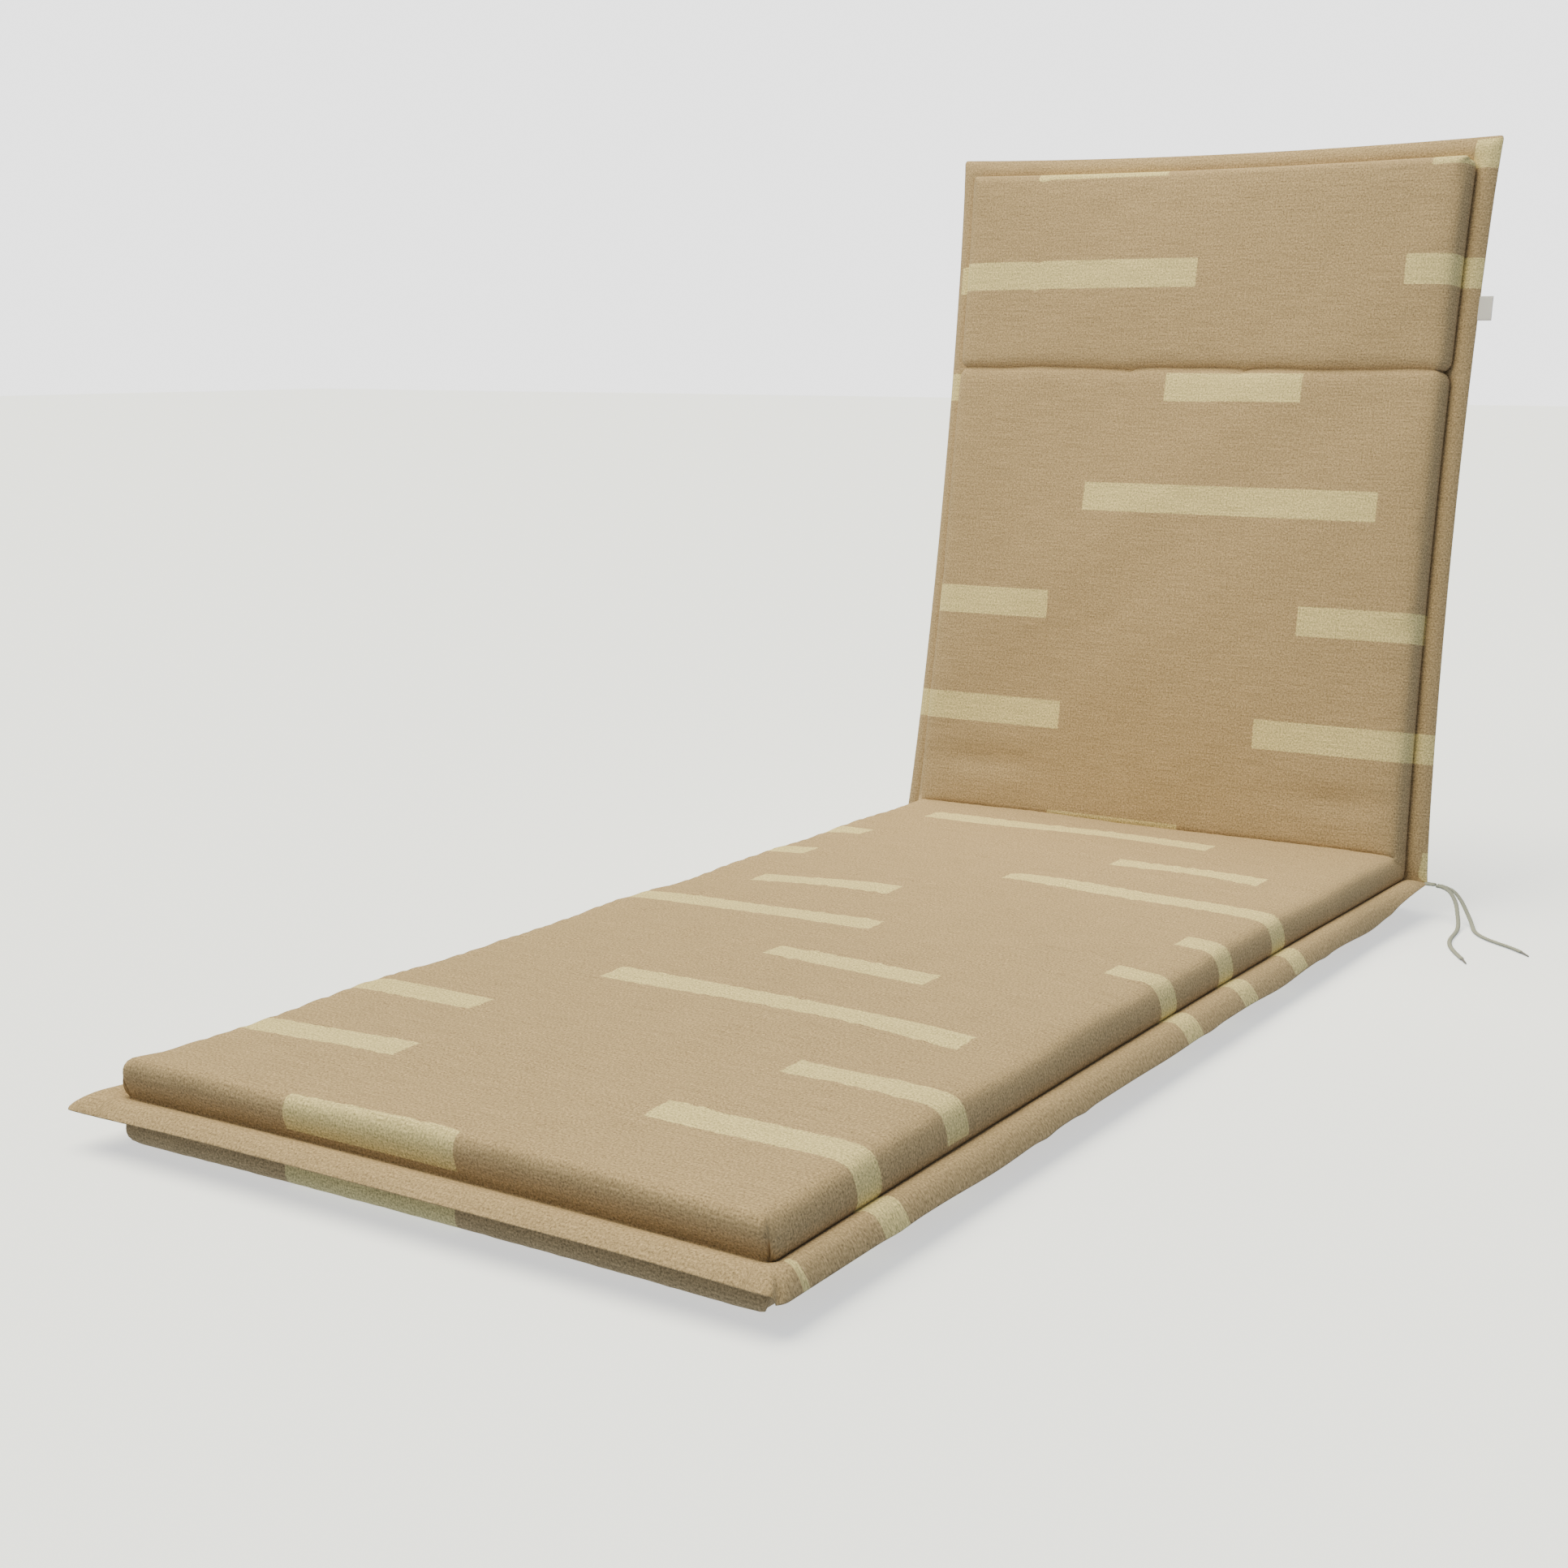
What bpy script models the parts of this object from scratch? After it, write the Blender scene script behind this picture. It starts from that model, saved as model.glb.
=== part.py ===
"""Sun lounger cushion, folded into its seat and back, with its side tab and tie cord.

The cushion is one filled solid. Its upper and lower cover sheets meet in the outer edge of a flat
margin, the flange, and both are worked out on the flat cloth first: x runs across the width, s runs
along the cloth from the front edge of the seat, over the fold, to the top edge of the back. Height
is measured off the cloth's mid-plane. The flat cushion is then folded about the sewn line between
seat and back, where the two pads press against each other.

The origin is the centre of the seat's flat underside, +Y points to the back and +Z up.
"""

import math

import bmesh
import bpy
import numpy as np
from mathutils import Matrix, Vector

# Outline of the cushion, laid flat, in metres
WIDTH = 0.600
SEAT_LENGTH = 1.185
BACK_LENGTH = 0.740
HEAD_SEAM = 0.507
FLANGE = 0.025
TOTAL_LENGTH = SEAT_LENGTH + BACK_LENGTH
HEAD_LINE = SEAT_LENGTH + HEAD_SEAM
EDGE_CORNER_RADIUS = 0.005
PAD_CORNER_RADIUS = 0.012

# Lean of the back, from the ground, and the heights of the filled halves over the mid-plane
BACK_LEAN = math.radians(80.8)
SEAT_RISE = 0.0335
FOLD_SLACK = 0.0035
BACK_RISE = 0.0295
SEAT_CROWN = 0.0085
BACK_CROWN = 0.0070
HEAD_CROWN = 0.0050
LOWER_RISE = 0.0330
REAR_RISE = 0.0290

# Section through a pad's edge: rounded shoulder, sewn root and the flange beside it
SHOULDER = 0.030
HEAD_SHOULDER = 0.017
SHOULDER_POWER = 2.3
CORNER_SHARPNESS = 9.0
LEAST_SHARE = 1e-4
OVERHANG = 0.0015
OVERHANG_SPAN = 0.35
SEWN_HALF = 0.0014
FLANGE_HALF = 0.0042
PUFF_SKEW = 0.8
PUFF_FULLNESS = 0.6
SEAM_PINCH = 0.6
SEAM_PINCH_REACH = 0.012

# How far the sewing draws the cloth in: the pads' root and the flange's outer edge
SEAT_ROOT_DRAW = 0.0060
BACK_ROOT_DRAW = 0.0075
BACK_EDGE_DRAW = 0.0105
DRAW_POWER = 0.65
FOLD_ROOT_OUT = 0.0030
FOLD_OUT_POWER = 6
FRONT_ROOT_DRAW = 0.0055
FRONT_DRAW_REACH = 0.200
TOP_DRAW = 0.006
TOP_DRAW_REACH = 0.140
SEAM_NOTCH = 0.011
NOTCH_REACH = 0.060
NOTCH_INNER_POWER = 2
NOTCH_OUTER_POWER = 1.5

# Soft dips of the seat's flange, for each long side, and its front corners, the left one pulled out
FLANGE_DIPS = {
    "right": ({"s": 0.270, "depth": 0.004, "reach": 0.055},
              {"s": 0.560, "depth": 0.002, "reach": 0.050},
              {"s": 0.795, "depth": 0.005, "reach": 0.050},
              {"s": 1.030, "depth": 0.007, "reach": 0.060}),
    "left": ({"s": 0.330, "depth": 0.003, "reach": 0.060},
             {"s": 0.690, "depth": 0.004, "reach": 0.055},
             {"s": 0.960, "depth": 0.005, "reach": 0.065}),
}
CORNER_DROOP = 0.004
CORNER_DROOP_REACH = 0.110
EAR_PULL = 0.009
EAR_REACH = 0.045

# Gap left between pieces and between the two pads where they press together
PIECE_GAP = 0.0003
PAD_GAP = 0.0004
SEAM_TOLERANCE = 1e-6

# Grid lines: parts of the flange's width, angles round the shoulder, and cells between
FLANGE_STEPS = np.array([0.0, 0.06, 0.25, 0.60, 0.90, 1.0])
SHOULDER_ANGLES = np.radians([12.0, 28.0, 46.0, 66.0, 90.0])
HEAD_ANGLES = np.radians([15.0, 38.0, 62.0, 90.0])
CELLS_ACROSS = 7
SEAT_CELLS = 18
BACK_CELLS = 7
HEAD_CELLS = 3

# Side tab in the flange of the back
TAB_CENTRE = 0.571
TAB_HEIGHT = 0.024
TAB_REACH = 0.0125
TAB_THICKNESS = 0.0014
TAB_BEVEL = 0.0005

# Tie cord: its folded middle, two free ends and their hardened tips
TIE_DIAMETER = 0.0045
ROOT_SIZE = Vector((0.0080, 0.0098, 0.0046))
ROOT_BEVEL = 0.0012
TIP_LENGTH = 0.012
TIP_RADII = (0.0012, 0.0007)
TIE_STEP = 0.0105
ROUTE_SAMPLES = 20
FOLD_Y = SEAT_LENGTH / 2
TIE_START = WIDTH / 2 + PIECE_GAP + ROOT_SIZE.x + PIECE_GAP

# Routes of the free ends over the surface, from the fold's right end: across, along, up
TIE_LONG_ROUTE = (
    (TIE_START, FOLD_Y - 0.0025, LOWER_RISE),
    (0.3165, FOLD_Y - 0.0025, LOWER_RISE),
    (0.3250, 0.5862, 0.0288),
    (0.3327, 0.5785, 0.0215),
    (0.3382, 0.5675, 0.0135),
    (0.3425, 0.5570, 0.0070),
    (0.3452, 0.5460, 0.0036),
    (0.3468, 0.5340, 0.0026),
    (0.3480, 0.5215, 0.0025),
    (0.3496, 0.5090, 0.0025),
    (0.3522, 0.4970, 0.0025),
    (0.3562, 0.4852, 0.0025),
    (0.3614, 0.4738, 0.0025),
    (0.3675, 0.4630, 0.0025),
    (0.3740, 0.4525, 0.0025),
    (0.3806, 0.4422, 0.0025),
)
TIE_SHORT_ROUTE = (
    (TIE_START, FOLD_Y + 0.0025, LOWER_RISE),
    (0.3168, FOLD_Y + 0.0025, LOWER_RISE),
    (0.3262, 0.5936, 0.0288),
    (0.3350, 0.5892, 0.0217),
    (0.3428, 0.5815, 0.0137),
    (0.3496, 0.5730, 0.0072),
    (0.3548, 0.5630, 0.0037),
    (0.3594, 0.5525, 0.0026),
    (0.3652, 0.5425, 0.0025),
    (0.3726, 0.5334, 0.0025),
    (0.3814, 0.5254, 0.0025),
    (0.3912, 0.5184, 0.0025),
    (0.4012, 0.5118, 0.0025),
    (0.4110, 0.5048, 0.0025),
    (0.4200, 0.4968, 0.0025),
)

# Finishes: colour, roughness and metallic value
COVER_FINISH = ((0.50, 0.39, 0.23, 1.0), 0.90, 0.0)
TIE_FINISH = ((0.44, 0.46, 0.42, 1.0), 0.80, 0.0)
TIP_FINISH = ((0.22, 0.23, 0.22, 1.0), 0.55, 0.0)
TAB_FINISH = ((0.60, 0.61, 0.62, 1.0), 0.70, 0.0)


def clear_scene():
    """Removes every object, so that the part starts from nothing."""
    for item in list(bpy.data.objects):
        bpy.data.objects.remove(item, do_unlink=True)


def make_material(name, finish):
    """A Principled material with a plain colour, roughness and metallic value."""
    colour, roughness, metallic = finish
    material = bpy.data.materials.new(name)
    material.use_nodes = True
    shader = material.node_tree.nodes["Principled BSDF"]
    shader.inputs["Base Color"].default_value = colour
    shader.inputs["Roughness"].default_value = roughness
    shader.inputs["Metallic"].default_value = metallic
    return material


def add_piece(name, data, material, collection):
    """Links a named object that holds the data and wears the material."""
    piece = bpy.data.objects.new(name, data)
    data.materials.append(material)
    collection.objects.link(piece)
    return piece


def shoulder_insets(radius, angles):
    """Distances from a pad's root at which its rounded shoulder reaches the given angles."""
    return radius * (1 - np.cos(angles) ** (2 / SHOULDER_POWER))


def lines_across():
    """Grid lines across the flat cloth, from the left edge to the right edge."""
    edge = np.concatenate([FLANGE * FLANGE_STEPS, FLANGE + shoulder_insets(SHOULDER, SHOULDER_ANGLES)])
    left = edge - WIDTH / 2
    middle = np.linspace(left[-1], -left[-1], CELLS_ACROSS + 1)[1:-1]
    return np.concatenate([left, middle, -left[::-1]])


def lines_along():
    """Grid lines along the flat cloth, from the front edge over fold and head seam to the top."""
    edge = np.concatenate([FLANGE * FLANGE_STEPS, FLANGE + shoulder_insets(SHOULDER, SHOULDER_ANGLES)])
    fold = shoulder_insets(SHOULDER, SHOULDER_ANGLES)
    head = shoulder_insets(HEAD_SHOULDER, HEAD_ANGLES)
    before_fold = np.append(SEAT_LENGTH - fold[::-1], SEAT_LENGTH)
    after_fold = SEAT_LENGTH + fold
    before_head = np.append(HEAD_LINE - head[::-1], HEAD_LINE)
    after_head = HEAD_LINE + head
    top = TOTAL_LENGTH - edge[::-1]
    return np.concatenate([
        edge,
        np.linspace(edge[-1], before_fold[0], SEAT_CELLS + 1)[1:-1],
        before_fold,
        after_fold,
        np.linspace(after_fold[-1], before_head[0], BACK_CELLS + 1)[1:-1],
        before_head,
        after_head,
        np.linspace(after_head[-1], top[0], HEAD_CELLS + 1)[1:-1],
        top,
    ])


def sew_distances(x, s):
    """Inward distances from the pads' root at the sides, at the two ends, and from both sewn lines."""
    side = WIDTH / 2 - FLANGE - np.abs(x)
    end = np.minimum(s - FLANGE, TOTAL_LENGTH - FLANGE - s)
    fold = np.abs(s - SEAT_LENGTH)
    head = np.abs(s - HEAD_LINE)
    return side, end, fold, head


def pad_rise(side, end, fold, head):
    """Share of the full height: a superellipse of the softened least distance to any sewn line."""
    parts = np.stack([side / SHOULDER, end / SHOULDER, fold / SHOULDER, head / HEAD_SHOULDER])
    parts = np.maximum(parts, LEAST_SHARE)
    nearest = np.sum(parts ** -CORNER_SHARPNESS, axis=0) ** (-1 / CORNER_SHARPNESS)
    inward = np.clip(1 - nearest, 0.0, 1.0)
    rise = (1 - inward ** SHOULDER_POWER) ** (1 / SHOULDER_POWER)
    flat = np.min(parts, axis=0) >= 1.0
    return np.where(flat, 1.0, rise)


def crown(x, s):
    """Extra height in the middle of each pad: a parabola across times half a sine wave along."""
    across = 1 - (x / (WIDTH / 2 - FLANGE)) ** 2
    seat = np.clip((s - FLANGE) / (SEAT_LENGTH - FLANGE), 0, 1)
    back = np.clip((s - SEAT_LENGTH) / HEAD_SEAM, 0, 1)
    head = np.clip((s - HEAD_LINE) / (TOTAL_LENGTH - FLANGE - HEAD_LINE), 0, 1)
    along = (SEAT_CROWN * np.sin(np.pi * seat)
             + BACK_CROWN * np.sin(np.pi * back)
             + HEAD_CROWN * np.sin(np.pi * head))
    return np.clip(across, 0, 1) * along


def flange_half(side, end, fold):
    """Half the flange's thickness: round at the outer edge, puffy, and pinched at root and fold."""
    part = np.clip(1 + np.minimum(side, end) / FLANGE, 0, 1)
    puff = FLANGE_HALF * np.sin(np.pi * part ** PUFF_SKEW) ** PUFF_FULLNESS
    pinch = 1 - SEAM_PINCH * np.exp(-(fold / SEAM_PINCH_REACH) ** 2)
    return np.where(part < 1, puff * pinch, 0.0) + SEWN_HALF * part


def sheet_height(x, s, upper):
    """Height of the upper or lower cover sheet over the mid-plane, on the flat cloth."""
    side, end, fold, head = sew_distances(x, s)
    share = pad_rise(side, end, fold, head)
    on_pad = np.minimum(side, end) > 0
    if upper:
        seat_rise = SEAT_RISE - FOLD_SLACK * np.clip(s / SEAT_LENGTH, 0, 1) ** 2
        full = np.where(s < SEAT_LENGTH, seat_rise, BACK_RISE) + crown(x, s) - SEWN_HALF
    else:
        full = np.where(s < SEAT_LENGTH, LOWER_RISE, REAR_RISE) - SEWN_HALF
    height = flange_half(side, end, fold) + np.where(on_pad, share * full, 0.0)
    return height if upper else -height


def round_corners(side, end):
    """Turns the square corners of each line round the cushion into arcs, in plan."""
    inset = np.minimum(side, end)
    outward = np.clip(-inset / FLANGE, 0, 1)
    radius = PAD_CORNER_RADIUS + (EDGE_CORNER_RADIUS - PAD_CORNER_RADIUS) * outward
    to_side = inset + radius - side
    to_end = inset + radius - end
    in_corner = (to_side > 0) & (to_end > 0)
    length = np.where(in_corner, np.hypot(to_side, to_end), 1.0)
    new_side = np.where(in_corner, inset + radius - to_side * radius / length, side)
    new_end = np.where(in_corner, inset + radius - to_end * radius / length, end)
    return new_side, new_end


def seam_notch(side, fold, head):
    """Inward shift that rounds the pads' corners where a sewn line meets the flange: a quarter arc."""
    seam = np.minimum(fold, head)
    short = np.clip(SEAM_NOTCH - seam, 0, SEAM_NOTCH)
    arc = SEAM_NOTCH - np.sqrt(SEAM_NOTCH ** 2 - short ** 2)
    inside = np.clip(1 - side / NOTCH_REACH, 0, 1) ** NOTCH_INNER_POWER
    outside = np.clip(1 + side / FLANGE, 0, 1) ** NOTCH_OUTER_POWER
    return arc * np.where(side >= 0, inside, outside)


def side_draw(side, s):
    """How far the long sides are drawn in: half a sine wave to a power, from the edge to the root."""
    seat = np.clip(s / SEAT_LENGTH, 0, 1)
    back = np.clip((s - SEAT_LENGTH) / BACK_LENGTH, 0, 1)
    seat_wave = np.sin(np.pi * seat)
    back_wave = np.clip(np.sin(np.pi * back), 0, 1) ** DRAW_POWER
    root = (SEAT_ROOT_DRAW * seat_wave + BACK_ROOT_DRAW * back_wave
            - FOLD_ROOT_OUT * seat ** FOLD_OUT_POWER)
    edge = BACK_EDGE_DRAW * back_wave
    inward = np.clip(1 + side / FLANGE, 0, 1)
    return edge + (root - edge) * inward


def plan_position(x, s):
    """Where the sewing leaves each point of the flat cloth, in plan."""
    side, end, fold, head = sew_distances(x, s)
    new_side, new_end = round_corners(side, end)
    bulge_share = np.clip(np.minimum(side, end) / (SHOULDER * OVERHANG_SPAN), 0, 1)
    bulge = OVERHANG * np.sin(np.pi * bulge_share)
    new_side = new_side + seam_notch(side, fold, head) - np.where(side <= end, bulge, 0.0)
    new_end = new_end - np.where(end < side, bulge, 0.0)
    across = 2 * x / WIDTH
    new_x = x - np.sign(x) * (new_side - side) - across * side_draw(side, s)
    shift_in = np.where(s < TOTAL_LENGTH / 2, new_end - end, end - new_end)
    near_top = np.clip(1 - (TOTAL_LENGTH - s) / TOP_DRAW_REACH, 0, 1) ** 2
    near_front = np.clip(s / FLANGE, 0, 1) * np.clip(1 - s / FRONT_DRAW_REACH, 0, 1)
    drawn = FRONT_ROOT_DRAW * near_front - TOP_DRAW * near_top
    new_s = s + shift_in + drawn * (1 - across ** 2)
    ear = EAR_PULL * np.exp(-(np.hypot(x + WIDTH / 2, s) / EAR_REACH) ** 2)
    return new_x - ear, new_s


def flange_drop(x, s):
    """How far the flange of the seat dips: soft bells along both long sides and at the front corners."""
    side, end = sew_distances(x, s)[:2]
    outward = np.clip(-np.minimum(side, end) / FLANGE, 0, 1)
    drop = np.zeros_like(x)
    for name, dips in FLANGE_DIPS.items():
        on_side = (x > 0) if name == "right" else (x < 0)
        for dip in dips:
            bell = dip["depth"] * np.exp(-((s - dip["s"]) / dip["reach"]) ** 2)
            drop += np.where(on_side & (side < 0), bell, 0.0)
    corner = np.hypot(WIDTH / 2 - np.abs(x), s) / CORNER_DROOP_REACH
    return (drop + CORNER_DROOP * np.exp(-corner ** 2)) * outward


def folded(x, s, height, upper):
    """Folds the flat cushion about the sewn line; the pads meet on the plane that halves the fold."""
    halving = 1 / math.tan((math.pi - BACK_LEAN) / 2)
    along = s - SEAT_LENGTH
    stop = np.where(upper, halving * height, 0.0)
    on_seam = np.abs(along) < SEAM_TOLERANCE
    reach = np.where(upper, np.maximum(np.abs(along), stop + PAD_GAP / 2), np.abs(along))
    on_seat = along < 0
    seat_y, seat_z = -reach, height
    back_y = reach * math.cos(BACK_LEAN) - height * math.sin(BACK_LEAN)
    back_z = reach * math.sin(BACK_LEAN) + height * math.cos(BACK_LEAN)
    y = np.where(on_seam, -halving * height, np.where(on_seat, seat_y, back_y))
    z = np.where(on_seam, height, np.where(on_seat, seat_z, back_z))
    return np.stack([x, y + FOLD_Y, z + LOWER_RISE], axis=-1)


def sheet_points(x, s, upper):
    """Points in space of one cover sheet over the flat positions x, s."""
    new_x, new_s = plan_position(x, s)
    height = sheet_height(x, s, upper) - flange_drop(x, s)
    return folded(new_x, new_s, height, upper)


def add_sheet(shape, across, along, upper):
    """Adds one cover sheet: a flat grid whose points go to their places in space."""
    columns = len(across) - 1
    rows = len(along) - 1
    x, s = np.meshgrid(across, along)
    places = sheet_points(x, s, upper)
    grid = bmesh.ops.create_grid(shape, x_segments=columns, y_segments=rows, size=1.0)
    for vert in grid["verts"]:
        column = round((vert.co.x + 1) / 2 * columns)
        row = round((vert.co.y + 1) / 2 * rows)
        vert.co = places[row, column]
    return grid["verts"]


def make_cushion(material, collection):
    """The filled cushion: both cover sheets, joined along the outer edge of the flange."""
    across = lines_across()
    along = lines_along()
    shape = bmesh.new()
    add_sheet(shape, across, along, True)
    lower = add_sheet(shape, across, along, False)
    lower_faces = {face for vert in lower for face in vert.link_faces}
    bmesh.ops.reverse_faces(shape, faces=list(lower_faces))
    bmesh.ops.remove_doubles(shape, verts=shape.verts, dist=SEAM_TOLERANCE)
    bmesh.ops.recalc_face_normals(shape, faces=shape.faces)
    mesh = bpy.data.meshes.new("cushion")
    shape.to_mesh(mesh)
    shape.free()
    mesh.shade_smooth()
    return add_piece("cushion", mesh, material, collection)


def back_point(x, s, height):
    """A point of the back in space, from its place on the flat cloth and its height."""
    y = (s - SEAT_LENGTH) * math.cos(BACK_LEAN) - height * math.sin(BACK_LEAN)
    z = (s - SEAT_LENGTH) * math.sin(BACK_LEAN) + height * math.cos(BACK_LEAN)
    return Vector((x, y + FOLD_Y, z + LOWER_RISE))


def bevelled_box(name, size, bevel, material, collection):
    """A box with rounded edges, about the object's own origin."""
    shape = bmesh.new()
    bmesh.ops.create_cube(shape, size=1.0)
    bmesh.ops.scale(shape, vec=size, verts=shape.verts)
    bmesh.ops.bevel(shape, geom=shape.edges[:], offset=bevel, segments=2, profile=0.5, affect="EDGES")
    mesh = bpy.data.meshes.new(name)
    shape.to_mesh(mesh)
    shape.free()
    return add_piece(name, mesh, material, collection)


def make_side_tab(material, collection):
    """The blank woven tab, standing out of the flange in the plane of the back."""
    s = SEAT_LENGTH + TAB_CENTRE
    edge_x = plan_position(np.array([WIDTH / 2]), np.array([s]))[0][0]
    size = (TAB_REACH, TAB_HEIGHT, TAB_THICKNESS)
    tab = bevelled_box("side_tab", size, TAB_BEVEL, material, collection)
    centre = back_point(edge_x + PIECE_GAP * 2 + TAB_REACH / 2, s, 0.0)
    tab.matrix_world = Matrix.Translation(centre) @ Matrix.Rotation(BACK_LEAN, 4, "X")
    return tab


def smooth_route(route, step):
    """Evenly spaced points on a Catmull-Rom curve through the route."""
    knots = [Vector(point) for point in route]
    knots = [knots[0] * 2 - knots[1]] + knots + [knots[-1] * 2 - knots[-2]]
    fine = []
    for before, start, end, after in zip(knots, knots[1:], knots[2:], knots[3:]):
        for part in np.linspace(0, 1, ROUTE_SAMPLES, endpoint=False):
            fine.append(0.5 * (2 * start + (end - before) * part
                               + (2 * before - 5 * start + 4 * end - after) * part ** 2
                               + (3 * start - before - 3 * end + after) * part ** 3))
    fine.append(knots[-2])
    spans = [0.0] + [(b - a).length for a, b in zip(fine, fine[1:])]
    travelled = np.cumsum(spans)
    stations = np.linspace(0, travelled[-1], round(travelled[-1] / step) + 1)
    even = [np.interp(stations, travelled, [point[axis] for point in fine]) for axis in range(3)]
    return [Vector(point) for point in zip(*even)]


def tube(name, points, radii, material, collection):
    """A round tube with filled ends along the points, with a radius at each."""
    curve = bpy.data.curves.new(name, "CURVE")
    curve.dimensions = "3D"
    curve.bevel_depth = 1.0
    curve.bevel_resolution = 2
    curve.use_fill_caps = True
    spline = curve.splines.new("POLY")
    spline.points.add(len(points) - 1)
    for knot, point, radius in zip(spline.points, points, radii):
        knot.co = (*point, 1.0)
        knot.radius = radius
    return add_piece(name, curve, material, collection)


def make_tie_end(name, route, cord_material, tip_material, collection):
    """One free end of the tie, lying on the surface, and its hardened tip."""
    radius = TIE_DIAMETER / 2
    points = smooth_route(route, TIE_STEP)
    for point in points:
        point.z = max(point.z, radius + PIECE_GAP / 2)
    tube(name, points, [radius] * len(points), cord_material, collection)
    heading = points[-1] - points[-2]
    heading.z = 0
    heading.normalize()
    start = points[-1] + heading * PIECE_GAP
    finish = start + heading * TIP_LENGTH
    finish.z = TIP_RADII[1] + PIECE_GAP
    tube(name + "_tip", [start, finish], TIP_RADII, tip_material, collection)


def make_tie(cord_material, tip_material, collection):
    """The tie: its folded middle at the fold's right end, and both free ends."""
    root = bevelled_box("tie_root", ROOT_SIZE, ROOT_BEVEL, cord_material, collection)
    root.location = (WIDTH / 2 + PIECE_GAP + ROOT_SIZE.x / 2, FOLD_Y, LOWER_RISE)
    make_tie_end("tie_long", TIE_LONG_ROUTE, cord_material, tip_material, collection)
    make_tie_end("tie_short", TIE_SHORT_ROUTE, cord_material, tip_material, collection)


def main():
    clear_scene()
    collection = bpy.data.collections.new("sun_lounger_cushion")
    bpy.context.scene.collection.children.link(collection)
    cover = make_material("cover_fabric", COVER_FINISH)
    tie = make_material("tie_cord", TIE_FINISH)
    tip = make_material("tie_tip", TIP_FINISH)
    tab = make_material("side_tab", TAB_FINISH)
    make_cushion(cover, collection)
    make_side_tab(tab, collection)
    make_tie(tie, tip, collection)


main()
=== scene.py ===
"""Looks of the sun lounger cushion: cover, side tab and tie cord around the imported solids.

The cover is one closed surface worked out on the flat cloth, where x runs across the width and s
runs along the cloth from the front edge of the seat, over the fold, to the top edge of the back.
Its UV map holds x and s in metres, so weave and dashes follow the cloth.
"""

import math

import bpy
import numpy as np
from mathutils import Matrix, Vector


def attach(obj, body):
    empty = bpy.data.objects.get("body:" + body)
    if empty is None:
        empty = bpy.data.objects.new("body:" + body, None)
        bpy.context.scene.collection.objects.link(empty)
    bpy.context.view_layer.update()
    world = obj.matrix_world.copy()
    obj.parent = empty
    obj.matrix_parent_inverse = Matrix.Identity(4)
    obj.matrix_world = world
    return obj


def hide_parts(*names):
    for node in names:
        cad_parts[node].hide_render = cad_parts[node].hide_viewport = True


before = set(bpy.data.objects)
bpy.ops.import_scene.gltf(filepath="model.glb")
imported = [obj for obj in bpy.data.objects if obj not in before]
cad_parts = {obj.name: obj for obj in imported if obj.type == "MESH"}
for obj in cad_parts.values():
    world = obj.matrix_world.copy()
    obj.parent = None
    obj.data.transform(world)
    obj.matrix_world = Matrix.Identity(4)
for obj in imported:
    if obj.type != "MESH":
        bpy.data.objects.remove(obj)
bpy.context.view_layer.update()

# Flat cushion, in metres
WIDTH = 0.600
SEAT_LENGTH = 1.185
BACK_LENGTH = 0.740
HEAD_SEAM = 0.507
FLANGE = 0.025
TOTAL_LENGTH = SEAT_LENGTH + BACK_LENGTH
HEAD_LINE = SEAT_LENGTH + HEAD_SEAM
SECTION_LINES = (0.0, SEAT_LENGTH, HEAD_LINE, TOTAL_LENGTH)
FOLD_Y = SEAT_LENGTH / 2
EDGE_CORNER_RADIUS = 0.005
BLUNT_CORNER_RADIUS = 0.013
PAD_CORNER_RADIUS = 0.008

# Lean of the back and heights of the filled halves over the mid-plane
BACK_LEAN = math.radians(80.8)
SEAT_RISE = 0.0335
FOLD_SLACK = 0.0035
BACK_RISE = 0.0295
SEAT_CROWN = 0.0085
BACK_CROWN = 0.0070
HEAD_CROWN = 0.0050
LOWER_RISE = 0.0330
REAR_RISE = 0.0290

# Section through a pad's edge
SHOULDER = 0.030
HEAD_SHOULDER = 0.017
SHOULDER_POWER = 3.0
END_POWER = 4.6
HEAD_VALLEY = 0.16
WALL_BULGE = {"side": 0.0046, "end": 0.0095}
BULGE_START = {"side": 0.10, "end": 0.35}
BULGE_CORNER = 0.25
ROOT_TUCK = 0.0030
TUCK_OUTSIDE = 0.30 * FLANGE
TUCK_INSIDE = 0.25 * SHOULDER
LEAST_SHARE = 1e-8
CORNER_SHARPNESS = 9.0
SEWN_HALF = 0.0008
FLANGE_HALF = 0.0056
PUFF_SKEW = 1.30
PUFF_FULLNESS = 0.60
PUFF_ROOT = 0.0040
SEAM_PINCH = 0.6
SEAM_PINCH_REACH = 0.012

# How far the sewing draws the cloth in
SEAT_ROOT_DRAW = 0.0060
BACK_ROOT_DRAW = 0.0075
BACK_EDGE_DRAW = 0.0105
DRAW_POWER = 0.65
FOLD_ROOT_OUT = 0.0030
FRONT_ROOT_DRAW = 0.0055
FRONT_DRAW_REACH = 0.200
TOP_DRAW = 0.006
TOP_DRAW_REACH = 0.140
SEAM_NOTCH = 0.011
NOTCH_REACH = 0.060
PAD_GAP = 0.0003

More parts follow.
